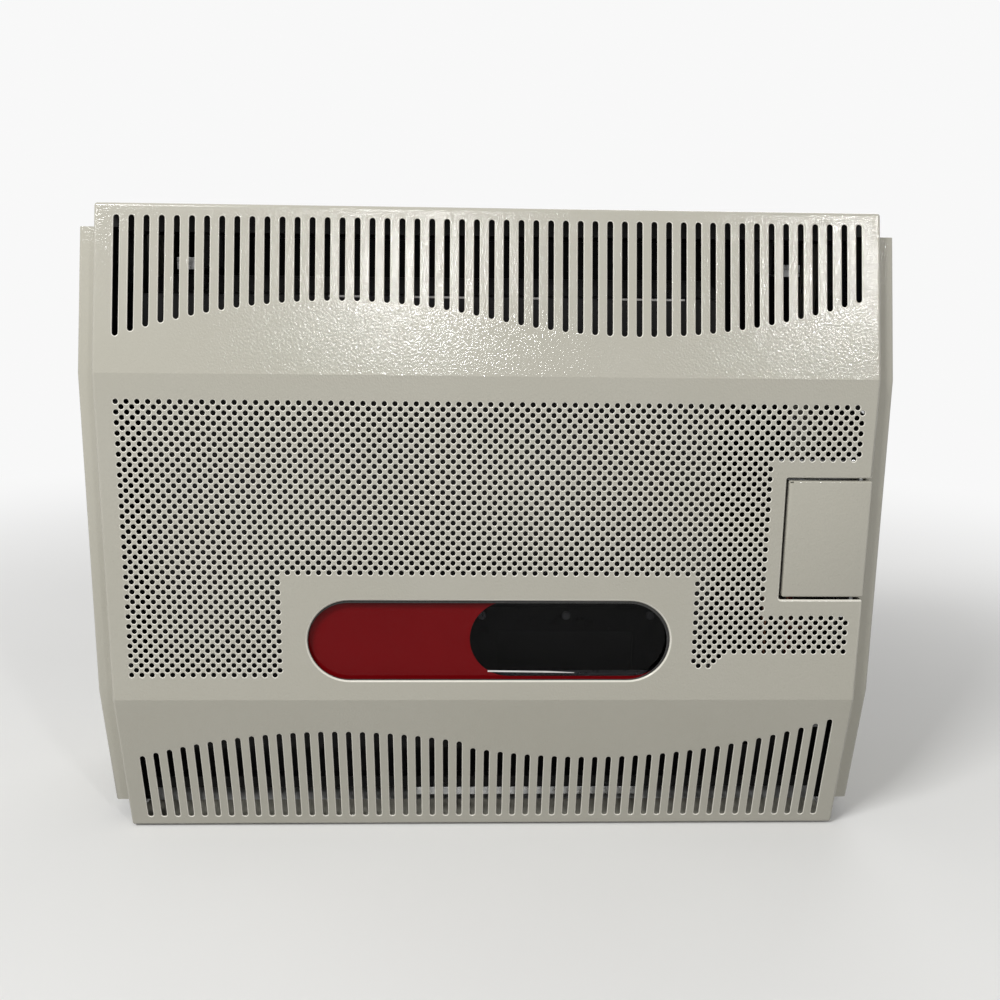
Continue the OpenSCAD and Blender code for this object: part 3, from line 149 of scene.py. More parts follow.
world = bpy.data.worlds.new("room")
world.use_nodes = True
room_nodes, room_links = world.node_tree.nodes, world.node_tree.links
room_nodes.clear()
room_output = room_nodes.new("ShaderNodeOutputWorld")
room_light = room_nodes.new("ShaderNodeBackground")
room_light.inputs["Color"].default_value = (1.0, 0.99, 0.97, 1)
room_light.inputs["Strength"].default_value = 0.30
room_view = room_nodes.new("ShaderNodeBackground")
room_view.inputs["Color"].default_value = (0.94, 0.94, 0.94, 1)
room_mix = room_nodes.new("ShaderNodeMixShader")
room_links.new(looked_at(room_nodes, room_links), room_mix.inputs["Fac"])
room_links.new(room_light.outputs[0], room_mix.inputs[1])
room_links.new(room_view.outputs[0], room_mix.inputs[2])
room_links.new(room_mix.outputs[0], room_output.inputs["Surface"])
bpy.context.scene.world = world
bpy.context.scene.view_settings.view_transform = "Standard"

floor_drop = -227.5 * MM
floor_reach = 6.0
floor_mesh = bpy.data.meshes.new("floor")
floor_corners = [(a * floor_reach, b * floor_reach, floor_drop) for a, b in ((-1, -1), (1, -1), (1, 1), (-1, 1))]
floor_mesh.from_pydata(floor_corners, [], [(0, 1, 2, 3)])
floor = bpy.data.objects.new("floor", floor_mesh)
bpy.context.scene.collection.objects.link(floor)
print("floor at", floor_drop, "m")

# %% [markdown]
# ## How the finishes are made
# Each finish is one Principled shader. Three small helpers give it its detail. `mottle` lets the
# colour drift between two near tones, `patchy` does the same for the gloss, and `grain` tilts
# the surface with noise so that it catches light unevenly. They all measure in millimetres on
# the object itself, so a grain has the same size on a large panel and on a screw. Colours are
# written as they look on a screen, 0 to 255, and `seen` turns them into light.

# %% Helpers for finishes


def seen(red, green, blue):
    """A screen colour as the linear light that a shader takes."""
    def linear(value):
        value /= 255
        return value / 12.92 if value <= 0.04045 else ((value + 0.055) / 1.055) ** 2.4
    return (linear(red), linear(green), linear(blue), 1.0)


def finish(name, colour, roughness, **sockets):
    """A new material with one Principled shader. Words in `sockets` name its other sockets."""
    material = bpy.data.materials.new(name)
    material.use_nodes = True
    shader = material.node_tree.nodes["Principled BSDF"]
    shader.inputs["Base Color"].default_value = colour
    shader.inputs["Roughness"].default_value = roughness
    for socket, value in sockets.items():
        shader.inputs[socket.replace("_", " ")].default_value = value
    return material


def shader_of(material):
    return material.node_tree.nodes["Principled BSDF"]


def speckle(material, size, detail=2.0, stretch=(1, 1, 1)):
    """Noise whose lumps are about `size` millimetres wide, drawn out along an axis by `stretch`."""
    nodes, links = material.node_tree.nodes, material.node_tree.links
    place = nodes.new("ShaderNodeTexCoord")
    scale = nodes.new("ShaderNodeMapping")
    scale.inputs["Scale"].default_value = [1 / (size * MM * s) for s in stretch]
    noise = nodes.new("ShaderNodeTexNoise")
    noise.inputs["Scale"].default_value = 1.0
    noise.inputs["Detail"].default_value = detail
    links.new(place.outputs["Object"], scale.inputs["Vector"])
    links.new(scale.outputs["Vector"], noise.inputs["Vector"])
    return noise.outputs["Fac"]


def spread(material, value, low, high, tight=0.25):
    """Turns a noise value around one half into a value between `low` and `high`."""
    nodes, links = material.node_tree.nodes, material.node_tree.links
    step = nodes.new("ShaderNodeMapRange")
    step.inputs["From Min"].default_value = 0.5 - tight
    step.inputs["From Max"].default_value = 0.5 + tight
    step.inputs["To Min"].default_value = low
    step.inputs["To Max"].default_value = high
    links.new(value, step.inputs["Value"])
    return step.outputs["Result"]


def mottle(material, other, size, detail=3.0, stretch=(1, 1, 1)):
    """Lets the base colour drift towards `other` in lumps of `size` millimetres."""
    nodes, links = material.node_tree.nodes, material.node_tree.links
    mix = nodes.new("ShaderNodeMix")
    mix.data_type = "RGBA"
    tones = [s for s in mix.inputs if s.type == "RGBA"]
    tones[0].default_value = shader_of(material).inputs["Base Color"].default_value
    tones[1].default_value = other
    amount = spread(material, speckle(material, size, detail, stretch), 0, 1)
    links.new(amount, mix.inputs[0])
    colour_out = [s for s in mix.outputs if s.type == "RGBA"][0]
    links.new(colour_out, shader_of(material).inputs["Base Color"])
    return material


def patchy(material, low, high, size, detail=3.0, stretch=(1, 1, 1)):
    """Lets the roughness drift between two values in lumps of `size` millimetres."""
    amount = spread(material, speckle(material, size, detail, stretch), low, high)
    material.node_tree.links.new(amount, shader_of(material).inputs["Roughness"])
    return material


def grain(material, size, height, detail=2.0, stretch=(1, 1, 1)):
    """Tilts the surface with noise: lumps of `size` millimetres that rise by `height`."""
    nodes, links = material.node_tree.nodes, material.node_tree.links
    bump = nodes.new("ShaderNodeBump")
    bump.inputs["Strength"].default_value = 1.0
    bump.inputs["Distance"].default_value = height * MM
    links.new(speckle(material, size, detail, stretch), bump.inputs["Height"])
    normal_in = shader_of(material).inputs["Normal"]
    if normal_in.is_linked:
        links.new(normal_in.links[0].from_socket, bump.inputs["Normal"])
    links.new(bump.outputs["Normal"], normal_in)
    return material


finishes = {}
print("helpers ready")

# %% [markdown]
# ## Floor paint
# The floor is matt and almost white. A faint mottle keeps it from looking like empty space. A
# large floor would go grey far from the lamps, so it fades into the colour of the backdrop with
# the distance from the heater. Only rays that look at the floor see that fading. For rays that
# only bring light the floor is a middling grey, or it would throw too much up into the heater.

# %% Paint the floor
floor_paint = mottle(finish("floor_paint", (0.84, 0.84, 0.83, 1), 0.9), (0.80, 0.80, 0.79, 1), 400)
fade_nodes, fade_links = floor_paint.node_tree.nodes, floor_paint.node_tree.links
floor_looked_at = looked_at(fade_nodes, fade_links)
two_greys = fade_nodes.new("ShaderNodeMix")
two_greys.data_type = "RGBA"
grey_in = [s for s in two_greys.inputs if s.type == "RGBA"]
grey_in[0].default_value = (0.34, 0.34, 0.34, 1)
pale = shader_of(floor_paint).inputs["Base Color"].links[0].from_socket
fade_links.new(pale, grey_in[1])
fade_links.new(floor_looked_at, two_greys.inputs[0])
grey_out = [s for s in two_greys.outputs if s.type == "RGBA"][0]
fade_links.new(grey_out, shader_of(floor_paint).inputs["Base Color"])
far_off = fade_nodes.new("ShaderNodeVectorMath")
far_off.operation = "LENGTH"
fade_links.new(fade_nodes.new("ShaderNodeTexCoord").outputs["Object"], far_off.inputs[0])
fade = fade_nodes.new("ShaderNodeMapRange")
fade.interpolation_type = "SMOOTHSTEP"
fade.inputs["From Min"].default_value = 0.35
fade.inputs["From Max"].default_value = 1.5
fade_links.new(far_off.outputs["Value"], fade.inputs["Value"])
amount = fade_nodes.new("ShaderNodeMath")
amount.operation = "MULTIPLY"
fade_links.new(fade.outputs["Result"], amount.inputs[0])
fade_links.new(floor_looked_at, amount.inputs[1])
backdrop = fade_nodes.new("ShaderNodeEmission")
backdrop.inputs["Color"].default_value = (0.94, 0.94, 0.94, 1)
floor_mix = fade_nodes.new("ShaderNodeMixShader")
fade_links.new(amount.outputs["Value"], floor_mix.inputs["Fac"])
fade_links.new(shader_of(floor_paint).outputs["BSDF"], floor_mix.inputs[1])
fade_links.new(backdrop.outputs["Emission"], floor_mix.inputs[2])
fade_links.new(floor_mix.outputs["Shader"], fade_nodes["Material Output"].inputs["Surface"])
floor_mesh.materials.append(floor_paint)
print("floor painted")

# %% [markdown]
# ## Powder coat
# The casing is sprayed with a cream powder that melts in an oven. It never flows quite flat: it
# keeps an orange peel about two millimetres wide with a finer grain on top, and each lump holds
# its own small highlight. Two layers of grain give that. The gloss is middling and drifts a
# little, as it does where hands and dust have been, and the colour wavers between two creams.

# %% Cream powder coat
cream = finish("cream_enamel", seen(182, 179, 167), 0.11, Specular_IOR_Level=0.5)
mottle(cream, seen(179, 176, 163), 90)
patchy(cream, 0.075, 0.115, 25)
grain(cream, 1.5, 0.17)
grain(cream, 0.9, 0.03)
finishes["cream_enamel"] = cream

# The outer half of every punched rim gets a paler cream: painted highlight, the line of light that a punched edge
# catches.
rim_highlight_paint = finish("rim_highlight_paint", seen(226, 223, 212), 0.22)
mottle(rim_highlight_paint, seen(220, 217, 205), 15)
grain(rim_highlight_paint, 1.5, 0.07)
print("cream powder coat ready")

# %% [markdown]
# ## Cheek paint and painted shade
# The cheeks are cream outside. Their inner faces, and the strip that the front panel
# covers, get a near black as painted shade. So the cheek's paint is the cream one with a mask: the cream
# shows only where the place is far enough out and the face doesn't look inward.

# %% Cream outside, painted shade inside
cheek_cream_painted_shade = cream.copy()
cheek_cream_painted_shade.name = "cheek_enamel_painted_shade"
painted_shade_edge = 264 * MM


def unshaded_cheek_mask(material):
    """1 where a cheek shows its cream, and 0 on its inner side and under the panel, where painted shade goes."""
    nodes, links = material.node_tree.nodes, material.node_tree.links

    def sum_of(operation, *values):
        step = nodes.new("ShaderNodeMath")
        step.operation = operation
        for number, value in enumerate(values):
            if isinstance(value, float):
                step.inputs[number].default_value = value
            else:
                links.new(value, step.inputs[number])
        return step.outputs["Value"]

    where = nodes.new("ShaderNodeTexCoord")
    place, facing = nodes.new("ShaderNodeSeparateXYZ"), nodes.new("ShaderNodeSeparateXYZ")
    links.new(where.outputs["Object"], place.inputs[0])
    links.new(where.outputs["Normal"], facing.inputs[0])
    far_out = sum_of("GREATER_THAN", sum_of("ABSOLUTE", place.outputs["X"]), painted_shade_edge)
    outward = sum_of("MULTIPLY", sum_of("SIGN", place.outputs["X"]), facing.outputs["X"])
    return sum_of("MULTIPLY", far_out, sum_of("GREATER_THAN", outward, -0.5))


def cover(material, under, shown):
    """Keeps a finish where the mask `shown` is 1, and shows the colour `under` elsewhere."""
    nodes, links = material.node_tree.nodes, material.node_tree.links
    shader = shader_of(material)
    mix = nodes.new("ShaderNodeMix")
    mix.data_type = "RGBA"
    tones = [s for s in mix.inputs if s.type == "RGBA"]
    tones[0].default_value = under
    links.new(shader.inputs["Base Color"].links[0].from_socket, tones[1])
    links.new(shown, mix.inputs[0])
    links.new([s for s in mix.outputs if s.type == "RGBA"][0], shader.inputs["Base Color"])


# Painted shade: near black where the cheek faces inward or lies behind the panel.
cover(cheek_cream_painted_shade, (0.012, 0.012, 0.013, 1), unshaded_cheek_mask(cheek_cream_painted_shade))
print("cheek paint ready")

# %% [markdown]
# ## Black enamels and plastics
# The burner chamber is coated with a black glaze that stands the heat. It is smoother than the
# cream powder and picks up grey dust. Moulded plastic has a fine even texture instead.

# %% Black enamel, black plastic, red plastic
black_enamel = finish("black_enamel", (0.008, 0.008, 0.009, 1), 0.42, Specular_IOR_Level=0.3)
mottle(black_enamel, (0.020, 0.019, 0.018, 1), 35, detail=6)
patchy(black_enamel, 0.34, 0.62, 18)
grain(black_enamel, 1.6, 0.03)
finishes["black_enamel"] = black_enamel

black_plastic = finish("black_plastic", (0.022, 0.022, 0.024, 1), 0.45)
mottle(black_plastic, (0.030, 0.030, 0.031, 1), 8)
grain(black_plastic, 0.5, 0.012)
finishes["black_plastic"] = black_plastic

red_plastic = finish("red_plastic", (0.42, 0.018, 0.016, 1), 0.24, Coat_Weight=0.3, Coat_Roughness=0.1)
mottle(red_plastic, (0.36, 0.012, 0.012, 1), 10)
grain(red_plastic, 2.5, 0.006)
finishes["red_plastic"] = red_plastic
print("black and red finishes ready")

# %% [markdown]
# ## Metals
# A metal is all reflection, so its look lies in its roughness. Rolled sheet has streaks along
# the way it went through the mill, which a noise stretched along one axis gives. Zinc plate is
# bright with cloudy patches. Steel that gets hot turns straw and brown, so the burner's
# stainless drifts towards those colours.

# %% Sheet, plate and cast metals


def metal(slot, colour, other, rough, size, stretch=(1, 1, 1), lump=0.01):
    """A metal finish: its colour drifts to `other`, its roughness runs between the two of `rough`."""
    material = finish(slot, colour, rough[0], Metallic=1.0)
    mottle(material, other, size, 4, stretch)
    patchy(material, rough[0], rough[1], size * 0.4, 3, stretch)
    grain(material, size * 0.12, lump, 2, stretch)
    finishes[slot] = material
    return material


ALONG_X = (14, 1, 1)
metal("zinc", (0.62, 0.62, 0.61, 1), (0.52, 0.53, 0.54, 1), (0.22, 0.40), 6)
metal("plate_steel", (0.36, 0.36, 0.355, 1), (0.27, 0.275, 0.28, 1), (0.34, 0.52), 12, ALONG_X)
metal("stainless", (0.46, 0.42, 0.37, 1), (0.30, 0.20, 0.13, 1), (0.24, 0.42), 22)
metal("aluminium", (0.52, 0.53, 0.54, 1), (0.44, 0.44, 0.45, 1), (0.32, 0.46), 5, ALONG_X)
metal("brass", (0.68, 0.49, 0.20, 1), (0.50, 0.33, 0.13, 1), (0.20, 0.36), 7)
metal("copper_tube", (0.42, 0.20, 0.12, 1), (0.20, 0.10, 0.07, 1), (0.30, 0.50), 9)
metal("magnet", (0.06, 0.06, 0.065, 1), (0.10, 0.09, 0.09, 1), (0.45, 0.60), 3)
print("metals ready:", [s for s in finishes])

# %% [markdown]
# ## Glass and print
# The long window is a pane of toughened glass. Most of it is printed dark red on the rear, and
# a clear part shows the chamber. The clear part is real glass here, and light goes through it.
# The print is glossy where it lies against the glass.

# %% Panes and the red print
tinted_glass = finish("tinted_glass", (0.17, 0.17, 0.18, 1), 0.02, Transmission_Weight=1.0, IOR=1.18,
                      Specular_IOR_Level=0.3)
mottle(tinted_glass, (0.15, 0.15, 0.16, 1), 40)
grain(tinted_glass, 30, 0.004)
finishes["tinted_glass"] = tinted_glass

clear_glass = finish("clear_glass", (0.80, 0.76, 0.68, 1), 0.06, Transmission_Weight=1.0, IOR=1.47)
mottle(clear_glass, (0.60, 0.54, 0.46, 1), 14, detail=5)
finishes["clear_glass"] = clear_glass

red_print = finish("red_print", seen(112, 8, 13), 0.10, Specular_IOR_Level=0.10)
mottle(red_print, seen(108, 7, 12), 30)
grain(red_print, 25, 0.003)
finishes["red_print"] = red_print
print("glass and print ready")

# %% [markdown]
# ## Cloth, board, rubber and ceramic
# The pane rests on a woven black tape, and the chamber's joints are packed with a pale fibre
# board. Both are dull and rough. The spark lead has a soft red sleeve, and the electrode is
# glazed white ceramic.

# %% Felt, gasket, sleeve and ceramic
felt = finish("felt", (0.020, 0.020, 0.020, 1), 0.95, Sheen_Weight=0.4)
mottle(felt, (0.045, 0.044, 0.042, 1), 1.2)
grain(felt, 0.9, 0.12)
finishes["felt"] = felt

gasket = finish("gasket", (0.74, 0.71, 0.65, 1), 0.92)
mottle(gasket, (0.55, 0.50, 0.43, 1), 9, detail=6)
grain(gasket, 0.8, 0.10)
finishes["gasket"] = gasket

lead_rubber = finish("lead_rubber", (0.22, 0.024, 0.016, 1), 0.48)
mottle(lead_rubber, (0.17, 0.020, 0.014, 1), 12)
grain(lead_rubber, 1.2, 0.01)
finishes["lead_rubber"] = lead_rubber

ceramic = finish("ceramic", (0.84, 0.82, 0.77, 1), 0.16, Coat_Weight=0.5, Coat_Roughness=0.05)
mottle(ceramic, (0.74, 0.70, 0.62, 1), 7)
finishes["ceramic"] = ceramic
print("finishes:", len(finishes))

# %% [markdown]
# ## Paint every solid
# The CAD record says which finish each solid has, so one loop paints them all. A second loop
# gives their edges a small rounding. Sharp CAD edges look false because no real edge is
# perfectly sharp: even a cut sheet catches a thin line of light. The modifiers weld the
# triangles, merge the flat ones and then bevel what is left.

# %% Paint the solids and break their edges
MISSING = set(slot_of.values()) - set(finishes)
for node, thing in frame["nodes"].items():
    thing.data.materials.clear()
    thing.data.materials.append(finishes[slot_of[node]])



def paint_shade_on(node, output="Object", axis="X", operation="GREATER_THAN", limit=10.0):
    """Painted shade, a near black, on a solid, but not where its place or its facing direction passes a limit."""
    material = finishes[slot_of[node]].copy()
    material.name = "painted_shade_" + node
    nodes, links = material.node_tree.nodes, material.node_tree.links
    parts, unshaded_side = nodes.new("ShaderNodeSeparateXYZ"), nodes.new("ShaderNodeMath")
    unshaded_side.operation = operation
    unshaded_side.inputs[1].default_value = limit
    links.new(nodes.new("ShaderNodeTexCoord").outputs[output], parts.inputs[0])
    links.new(parts.outputs[axis], unshaded_side.inputs[0])
    cover(material, (0.02, 0.02, 0.02, 1), unshaded_side.outputs["Value"])
    frame["nodes"][node].data.materials[0] = material


# Painted shade: the parts seen through the grille are darkened. The wall plate stays bright towards
# the wall, and the panel's stops at their front ends. What stands behind the flap stays bright only
# where the open flap shows it, and the last row of names is dark all over.
paint_shade_on("wall_plate", "Normal", "Y", "GREATER_THAN", 0.5)
paint_shade_on("panel_stops", "Object", "Y", "LESS_THAN", -150 * MM)
flap_edge = 206.5 * MM
for node in ("fascia", "control_plate", "plate_screws", "catch_bracket"):
    paint_shade_on(node, limit=flap_edge)
for node in ("shell_bolts", "sight_frame", "gas_valve", "gas_inlet", "main_gas_pipe"):
    paint_shade_on(node)

edge_break = {"window_print": 0, "knob_spring": 0, "button_spring": 0, "shell_gasket_ring": 0, "window_felt": 0,
              "window_rails": 0.45}
usual_break = 0.25


def break_edges(thing, width):
    """Rounds every sharp edge of a solid by `width` millimetres, without touching its mesh."""
    weld = thing.modifiers.new("weld", "WELD")
    weld.merge_threshold = 1e-6
    flatten = thing.modifiers.new("flatten", "DECIMATE")
    flatten.decimate_type = "DISSOLVE"
    flatten.angle_limit = math.radians(1)
    bevel = thing.modifiers.new("bevel", "BEVEL")
    bevel.width = width * MM
    bevel.segments = 2
    bevel.limit_method = "ANGLE"
    bevel.angle_limit = math.radians(40)


for node, thing in frame["nodes"].items():
    width = edge_break.get(node, usual_break)
    if width and node not in ("front_panel", "left_cheek", "right_cheek", "control_flap", "control_knob"):
        break_edges(thing, width)
print("painted", len(frame["nodes"]), "solids; slots without a finish:", MISSING)

# %% [markdown]
# ## The front panel
# This is the piece that makes the heater: one sheet, 1.2 mm thick, with almost three thousand
# punched holes and 102 slots. It could be cut out of a block with booleans, but each hole would
# then have a knife edge. It is made here as a press shop makes it. First comes a flat blank with
# every hole in it, as a drawing in two lengths: `u` across and `s` along. Then the blank gets its
# two skins and a rounded rim round every hole, and at last it is bent round its fold lines. The
# bending is only arithmetic on the points, so the holes stay clean.

# %% Sizes of the panel
panel_w, panel_h = 530.0, 452.0
front_y = -200.0
sheet = 1.2
flat_half = 231.0 / 2
slope_back = 27.0
slope_rise = panel_h / 2 - flat_half
slope_length = math.hypot(slope_rise, slope_back)
lean = math.atan2(slope_back, slope_rise)
end_return, side_return = 37.0, 13.7
end_turn = math.pi / 2 - lean

slope_fold_r, end_fold_r, side_fold_r = 2.4, 2.4, 2.0
slope_end_s = flat_half + slope_length
roll_u = panel_w / 2 + side_fold_r
print("slope:", round(slope_length, 2), "mm long, leaning", round(math.degrees(lean), 2), "degrees")

# %% [markdown]
# ### Holes and slots
# The holes sit on a staggered grid: every second place of a square grid is punched. Round the
# window and the flap the press leaves a plain margin, so a place counts only when it is clear
# of both, and under the window's right side the last rows stop early. The slots all end at the
# same height, but their inner ends follow two arcs, a hump and a dip, which is the wave that
# one sees across the grille.

# %% Places of the holes and slots
hole_step, hole_r = 3.577, 1.78
hole_cols, hole_rows, hole_top = 142, 55, 96.4
window_x, window_z, window_w, window_h = 1.0, -71.2, 256.0, 59.0
flap_left, flap_low, flap_top = 205.0, -40.25, 47.25
tail_row, tail_col = hole_rows - 5, 116


def hole_places():
    """The middle of every punched hole of the upright part."""
    places = []
    for j in range(hole_rows):
        for i in range(j % 2, hole_cols, 2):
            x = (i - (hole_cols - 2) / 2) * hole_step
            z = hole_top - j * hole_step
            by_window = abs(x - window_x) < window_w / 2 + 16.9 and z < window_z + window_h / 2 + 18.3
            by_flap = x > flap_left - 9.7 and flap_low - 11.6 < z < flap_top + 11.6
            tail = j < tail_row or x < window_x or (j < tail_row + 3 and i + j <= tail_col + tail_row)
            if tail and not by_window and not by_flap:
                places.append((x, z))
    return places


slot_count, slot_pitch, slot_r, slot_end = 51, 10.0, 1.95, 106.0
wave_r = 450.0


def arc_end(x, middle, end, bend):
    return end + (x - middle) ** 2 / (2 * bend)


def slot_ends(upper):
    """(x, inner end, outer end) of every slot of one slope, measured from the fold."""
    ends = []
    for k in range(slot_count):
        x = (k - (slot_count - 1) / 2) * slot_pitch
        if upper:
            inner = arc_end(x, -100, 49.7, -wave_r) if x < 0 else arc_end(x, 100, 27.5, wave_r)
        else:
            inner = arc_end(x, -110, 27.9, wave_r) if x < -17 else arc_end(x, 76, 51.2, -wave_r)
        ends.append((x, inner, slot_end))
    return ends


print("holes:", len(hole_places()), "slots:", 2 * slot_count)

# %% [markdown]
# ### Cut lines of the blank
# Every cut is a closed line that keeps the metal on its left, so a hole runs clockwise and the
# outer edge runs the other way. `spread_line` moves such a line into the metal, and the strip
# between the two lines becomes the rim that a punch leaves: a shallow dip, whose depth is a part
# of its width that `slant` gives. A punched hole also grows a little towards the rear, where the
# slug broke out, and `flare` says by how much. The flap's opening runs out through the right
# fold, so it is part of the outer edge, and its rim is a real fold, as deep as it is wide.

# %% Draw the cut lines


def arc(middle, radius, start, stop, steps):
    """Points on an arc, angles in degrees, both ends included."""
    turn = np.radians(np.linspace(start, stop, steps + 1))
    return np.column_stack([middle[0] + radius * np.cos(turn), middle[1] + radius * np.sin(turn)])


def spread_line(line, width):
    """Moves a closed line to its left by `width`, which is one number or one for each point."""
    back = line - np.roll(line, 1, axis=0)
    ahead = np.roll(line, -1, axis=0) - line
    left = [np.column_stack([-d[:, 1], d[:, 0]]) / np.linalg.norm(d, axis=1)[:, None] for d in (back, ahead)]
    middle = left[0] + left[1]
    middle /= np.linalg.norm(middle, axis=1)[:, None]
    reach = np.asarray(width) / np.maximum((middle * left[1]).sum(axis=1), 0.3)
    return line + middle * np.reshape(reach, (-1, 1))


def stadium(middle, half_length, radius, steps, upright):
    """A clockwise slot outline with round ends."""
    if upright:
        ends = [arc((middle[0], middle[1] + half_length - radius), radius, 180, 0, steps),
                arc((middle[0], middle[1] - half_length + radius), radius, 0, -180, steps)]
    else:
        ends = [arc((middle[0] - half_length + radius, middle[1]), radius, 270, 90, steps),
                arc((middle[0] + half_length - radius, middle[1]), radius, 90, -90, steps)]
    return np.vstack(ends)


hole_rim, slot_rim, window_rim, opening_rim = 0.60, 0.60, 1.25, 1.1
slant = {"hole": 0.35, "slot": 0.40, "window": 0.40, "edge": 1.0}
flare = {"hole": 0.40, "slot": 0.45, "window": 0.1, "edge": 0.0}
cuts = []
for x, z in hole_places():
    cuts.append((arc((x, z), hole_r, 360, 30, 11), hole_rim, "hole"))
for upper in (True, False):
    for x, inner, outer in slot_ends(upper):
        middle = flat_half + (inner + outer) / 2
        place = (x, middle if upper else -middle)
        cuts.append((stadium(place, (outer - inner) / 2, slot_r, 6, True), slot_rim, "slot"))
cuts.append((stadium((window_x, window_z), window_w / 2, window_h / 2, 30, False), window_rim, "window"))
print("cut lines:", len(cuts))

# %% [markdown]
# ### Outer edge and fold lines
# The blank's outer edge has a tab on each side and on each end. A fold is a narrow band of
# lines, and the points between two of them become flat strips of the round bend. The lines
# have to end on points of the outer edge, so the edge gets a point wherever one arrives.

# %% Draw the outer edge and the fold lines
fold_steps = 6


def band(middle, radius, turn, steps=fold_steps):
    """Places of the lines of one fold, from where it starts to where it ends."""
    half = radius * math.tan(turn / 2)
    return [middle + half * (2 * k / steps - 1) for k in range(steps + 1)]


side_band = band(panel_w / 2, side_fold_r, math.pi / 2)
slope_band = band(flat_half, slope_fold_r, lean, 4)
end_band = band(slope_end_s, end_fold_r, end_turn)
mitre_reach = 13.0
tab_lines = [flat_half - mitre_reach] + slope_band + [flat_half + mitre_reach]
tab_u = panel_w / 2 + side_return
tab_end = slope_end_s - (side_fold_r - side_return * math.sin(lean)) / math.cos(lean)
end_s = slope_end_s + end_return
notch_s = slope_end_s - 0.4


def side_edge(sign):
    """The points of one side's edge from bottom to top, before the flap's opening is cut."""
    ups = [(roll_u, notch_s)] + [(roll_u, s) for s in end_band if s > notch_s] + [(roll_u, end_s)]
    rise = [(tab_u, s) for s in tab_lines] + [(tab_u, tab_end)] + ups
    fall = [(u, -s) for u, s in reversed(rise)]
    return np.array(fall), np.array(rise)


opening_corner = 1.5
fall, rise = side_edge(1)
inward = [(u, flap_low) for u in reversed(side_band)]
opening = np.vstack([
    [(tab_u, flap_low)], inward,
    arc((flap_left + opening_corner, flap_low + opening_corner), opening_corner, 270, 180, 4),
    arc((flap_left + opening_corner, flap_top - opening_corner), opening_corner, 180, 90, 4),
    [(u, flap_top) for u in side_band], [(tab_u, flap_top)],
])
top_edge = np.array([(u * side, end_s) for side, line in ((1, side_band[-2::-1]), (-1, side_band[:-1])) for u in line])
left_side = np.vstack([fall, rise]) * (-1, 1)
edge = np.vstack([fall, opening, rise, top_edge, left_side[::-1], (top_edge * (-1, -1))])
edge_rim = np.zeros(len(edge))
edge_rim[len(fall):len(fall) + len(opening)] = opening_rim
cuts.append((edge, edge_rim, "edge"))
print("outer edge:", len(edge), "points")

# %% [markdown]
# ### Triangles between the lines
# A constrained Delaunay triangulation fills the plane between all these lines with triangles and
# keeps every line as an edge. It also fills the holes. A triangle whose three corners lie on one
# hole's line is inside that hole, and one whose middle is outside the outer edge is scrap. Both
# are thrown away.

# %% Triangulate the blank
ring_points, tight_points, flared_points, ring_cut, ring_depth, line_pairs = [], [], [], [], [], []
start = 0
for number, (line, rim, kind) in enumerate(cuts):
    count = len(line)
    ring_points.append(spread_line(line, rim))
    tight_points.append(line)
    flared_points.append(spread_line(line, flare[kind]))
    ring_cut += [number] * count
    ring_depth += list(np.broadcast_to(rim, count) * slant[kind])
    line_pairs += [(start + k, start + (k + 1) % count) for k in range(count)]
    start += count
ring_points, tight_points, flared_points = (np.vstack(p) for p in (ring_points, tight_points, flared_points))
ring_depth, ring_cut = np.array(ring_depth), np.array(ring_cut)


def nearest(u, s):
    """The number of the ring point at (u, s)."""
    return int(np.argmin(np.hypot(ring_points[:, 0] - u, ring_points[:, 1] - s)))


fold_pairs = []
for side in (-1, 1):
    for s in tab_lines:
        fold_pairs.append((nearest(-tab_u, side * s), nearest(tab_u, side * s)))
    for u in side_band[:-1]:
        if side < 0:
            fold_pairs.append((nearest(-u, -end_s), nearest(-u, end_s)))
        else:
            fold_pairs.append((nearest(u, -end_s), nearest(u, flap_low - opening_rim)))
            fold_pairs.append((nearest(u, flap_top + opening_rim), nearest(u, end_s)))
extra_points = []
for side in (-1, 1):
    for s in end_band:
        if s > notch_s:
            fold_pairs.append((nearest(-roll_u, side * s), nearest(roll_u, side * s)))
        else:
            extra_points += [(-roll_u, side * s), (roll_u, side * s)]
            place = len(ring_points) + len(extra_points)
            fold_pairs.append((place - 2, place - 1))
blank_points = np.vstack([ring_points, extra_points])
corner_u = [(side * roll_u, end * (slope_end_s - mitre_reach)) for side in (-1, 1) for end in (-1, 1)]
for u, s in corner_u:
    extra_points.append((u, s))
    fold_pairs.append((len(ring_points) + len(extra_points) - 1, nearest(u, math.copysign(notch_s, s))))
blank_points = np.vstack([ring_points, extra_points])

points, _, triangles, came_from, _, _ = delaunay_2d_cdt(
    [Vector(p) for p in blank_points], line_pairs + fold_pairs, [], 0, 1e-5, True)
points = np.array([tuple(p) for p in points])
triangles = np.array(triangles)
origin = np.array([ids[0] if ids else -1 for ids in came_from])
is_ring = (origin >= 0) & (origin < len(ring_points))
cut_of = np.where(is_ring, ring_cut[np.clip(origin, 0, len(ring_cut) - 1)], -1)


def inside(places, line):
    """Which places lie inside a closed line."""
    x, y = places[:, 0], places[:, 1]
    hit = np.zeros(len(places), bool)
    for (x0, y0), (x1, y1) in zip(line, np.roll(line, -1, axis=0)):
        if y0 != y1:
            hit ^= ((y0 > y) != (y1 > y)) & (x < x0 + (y - y0) * (x1 - x0) / (y1 - y0))
    return hit


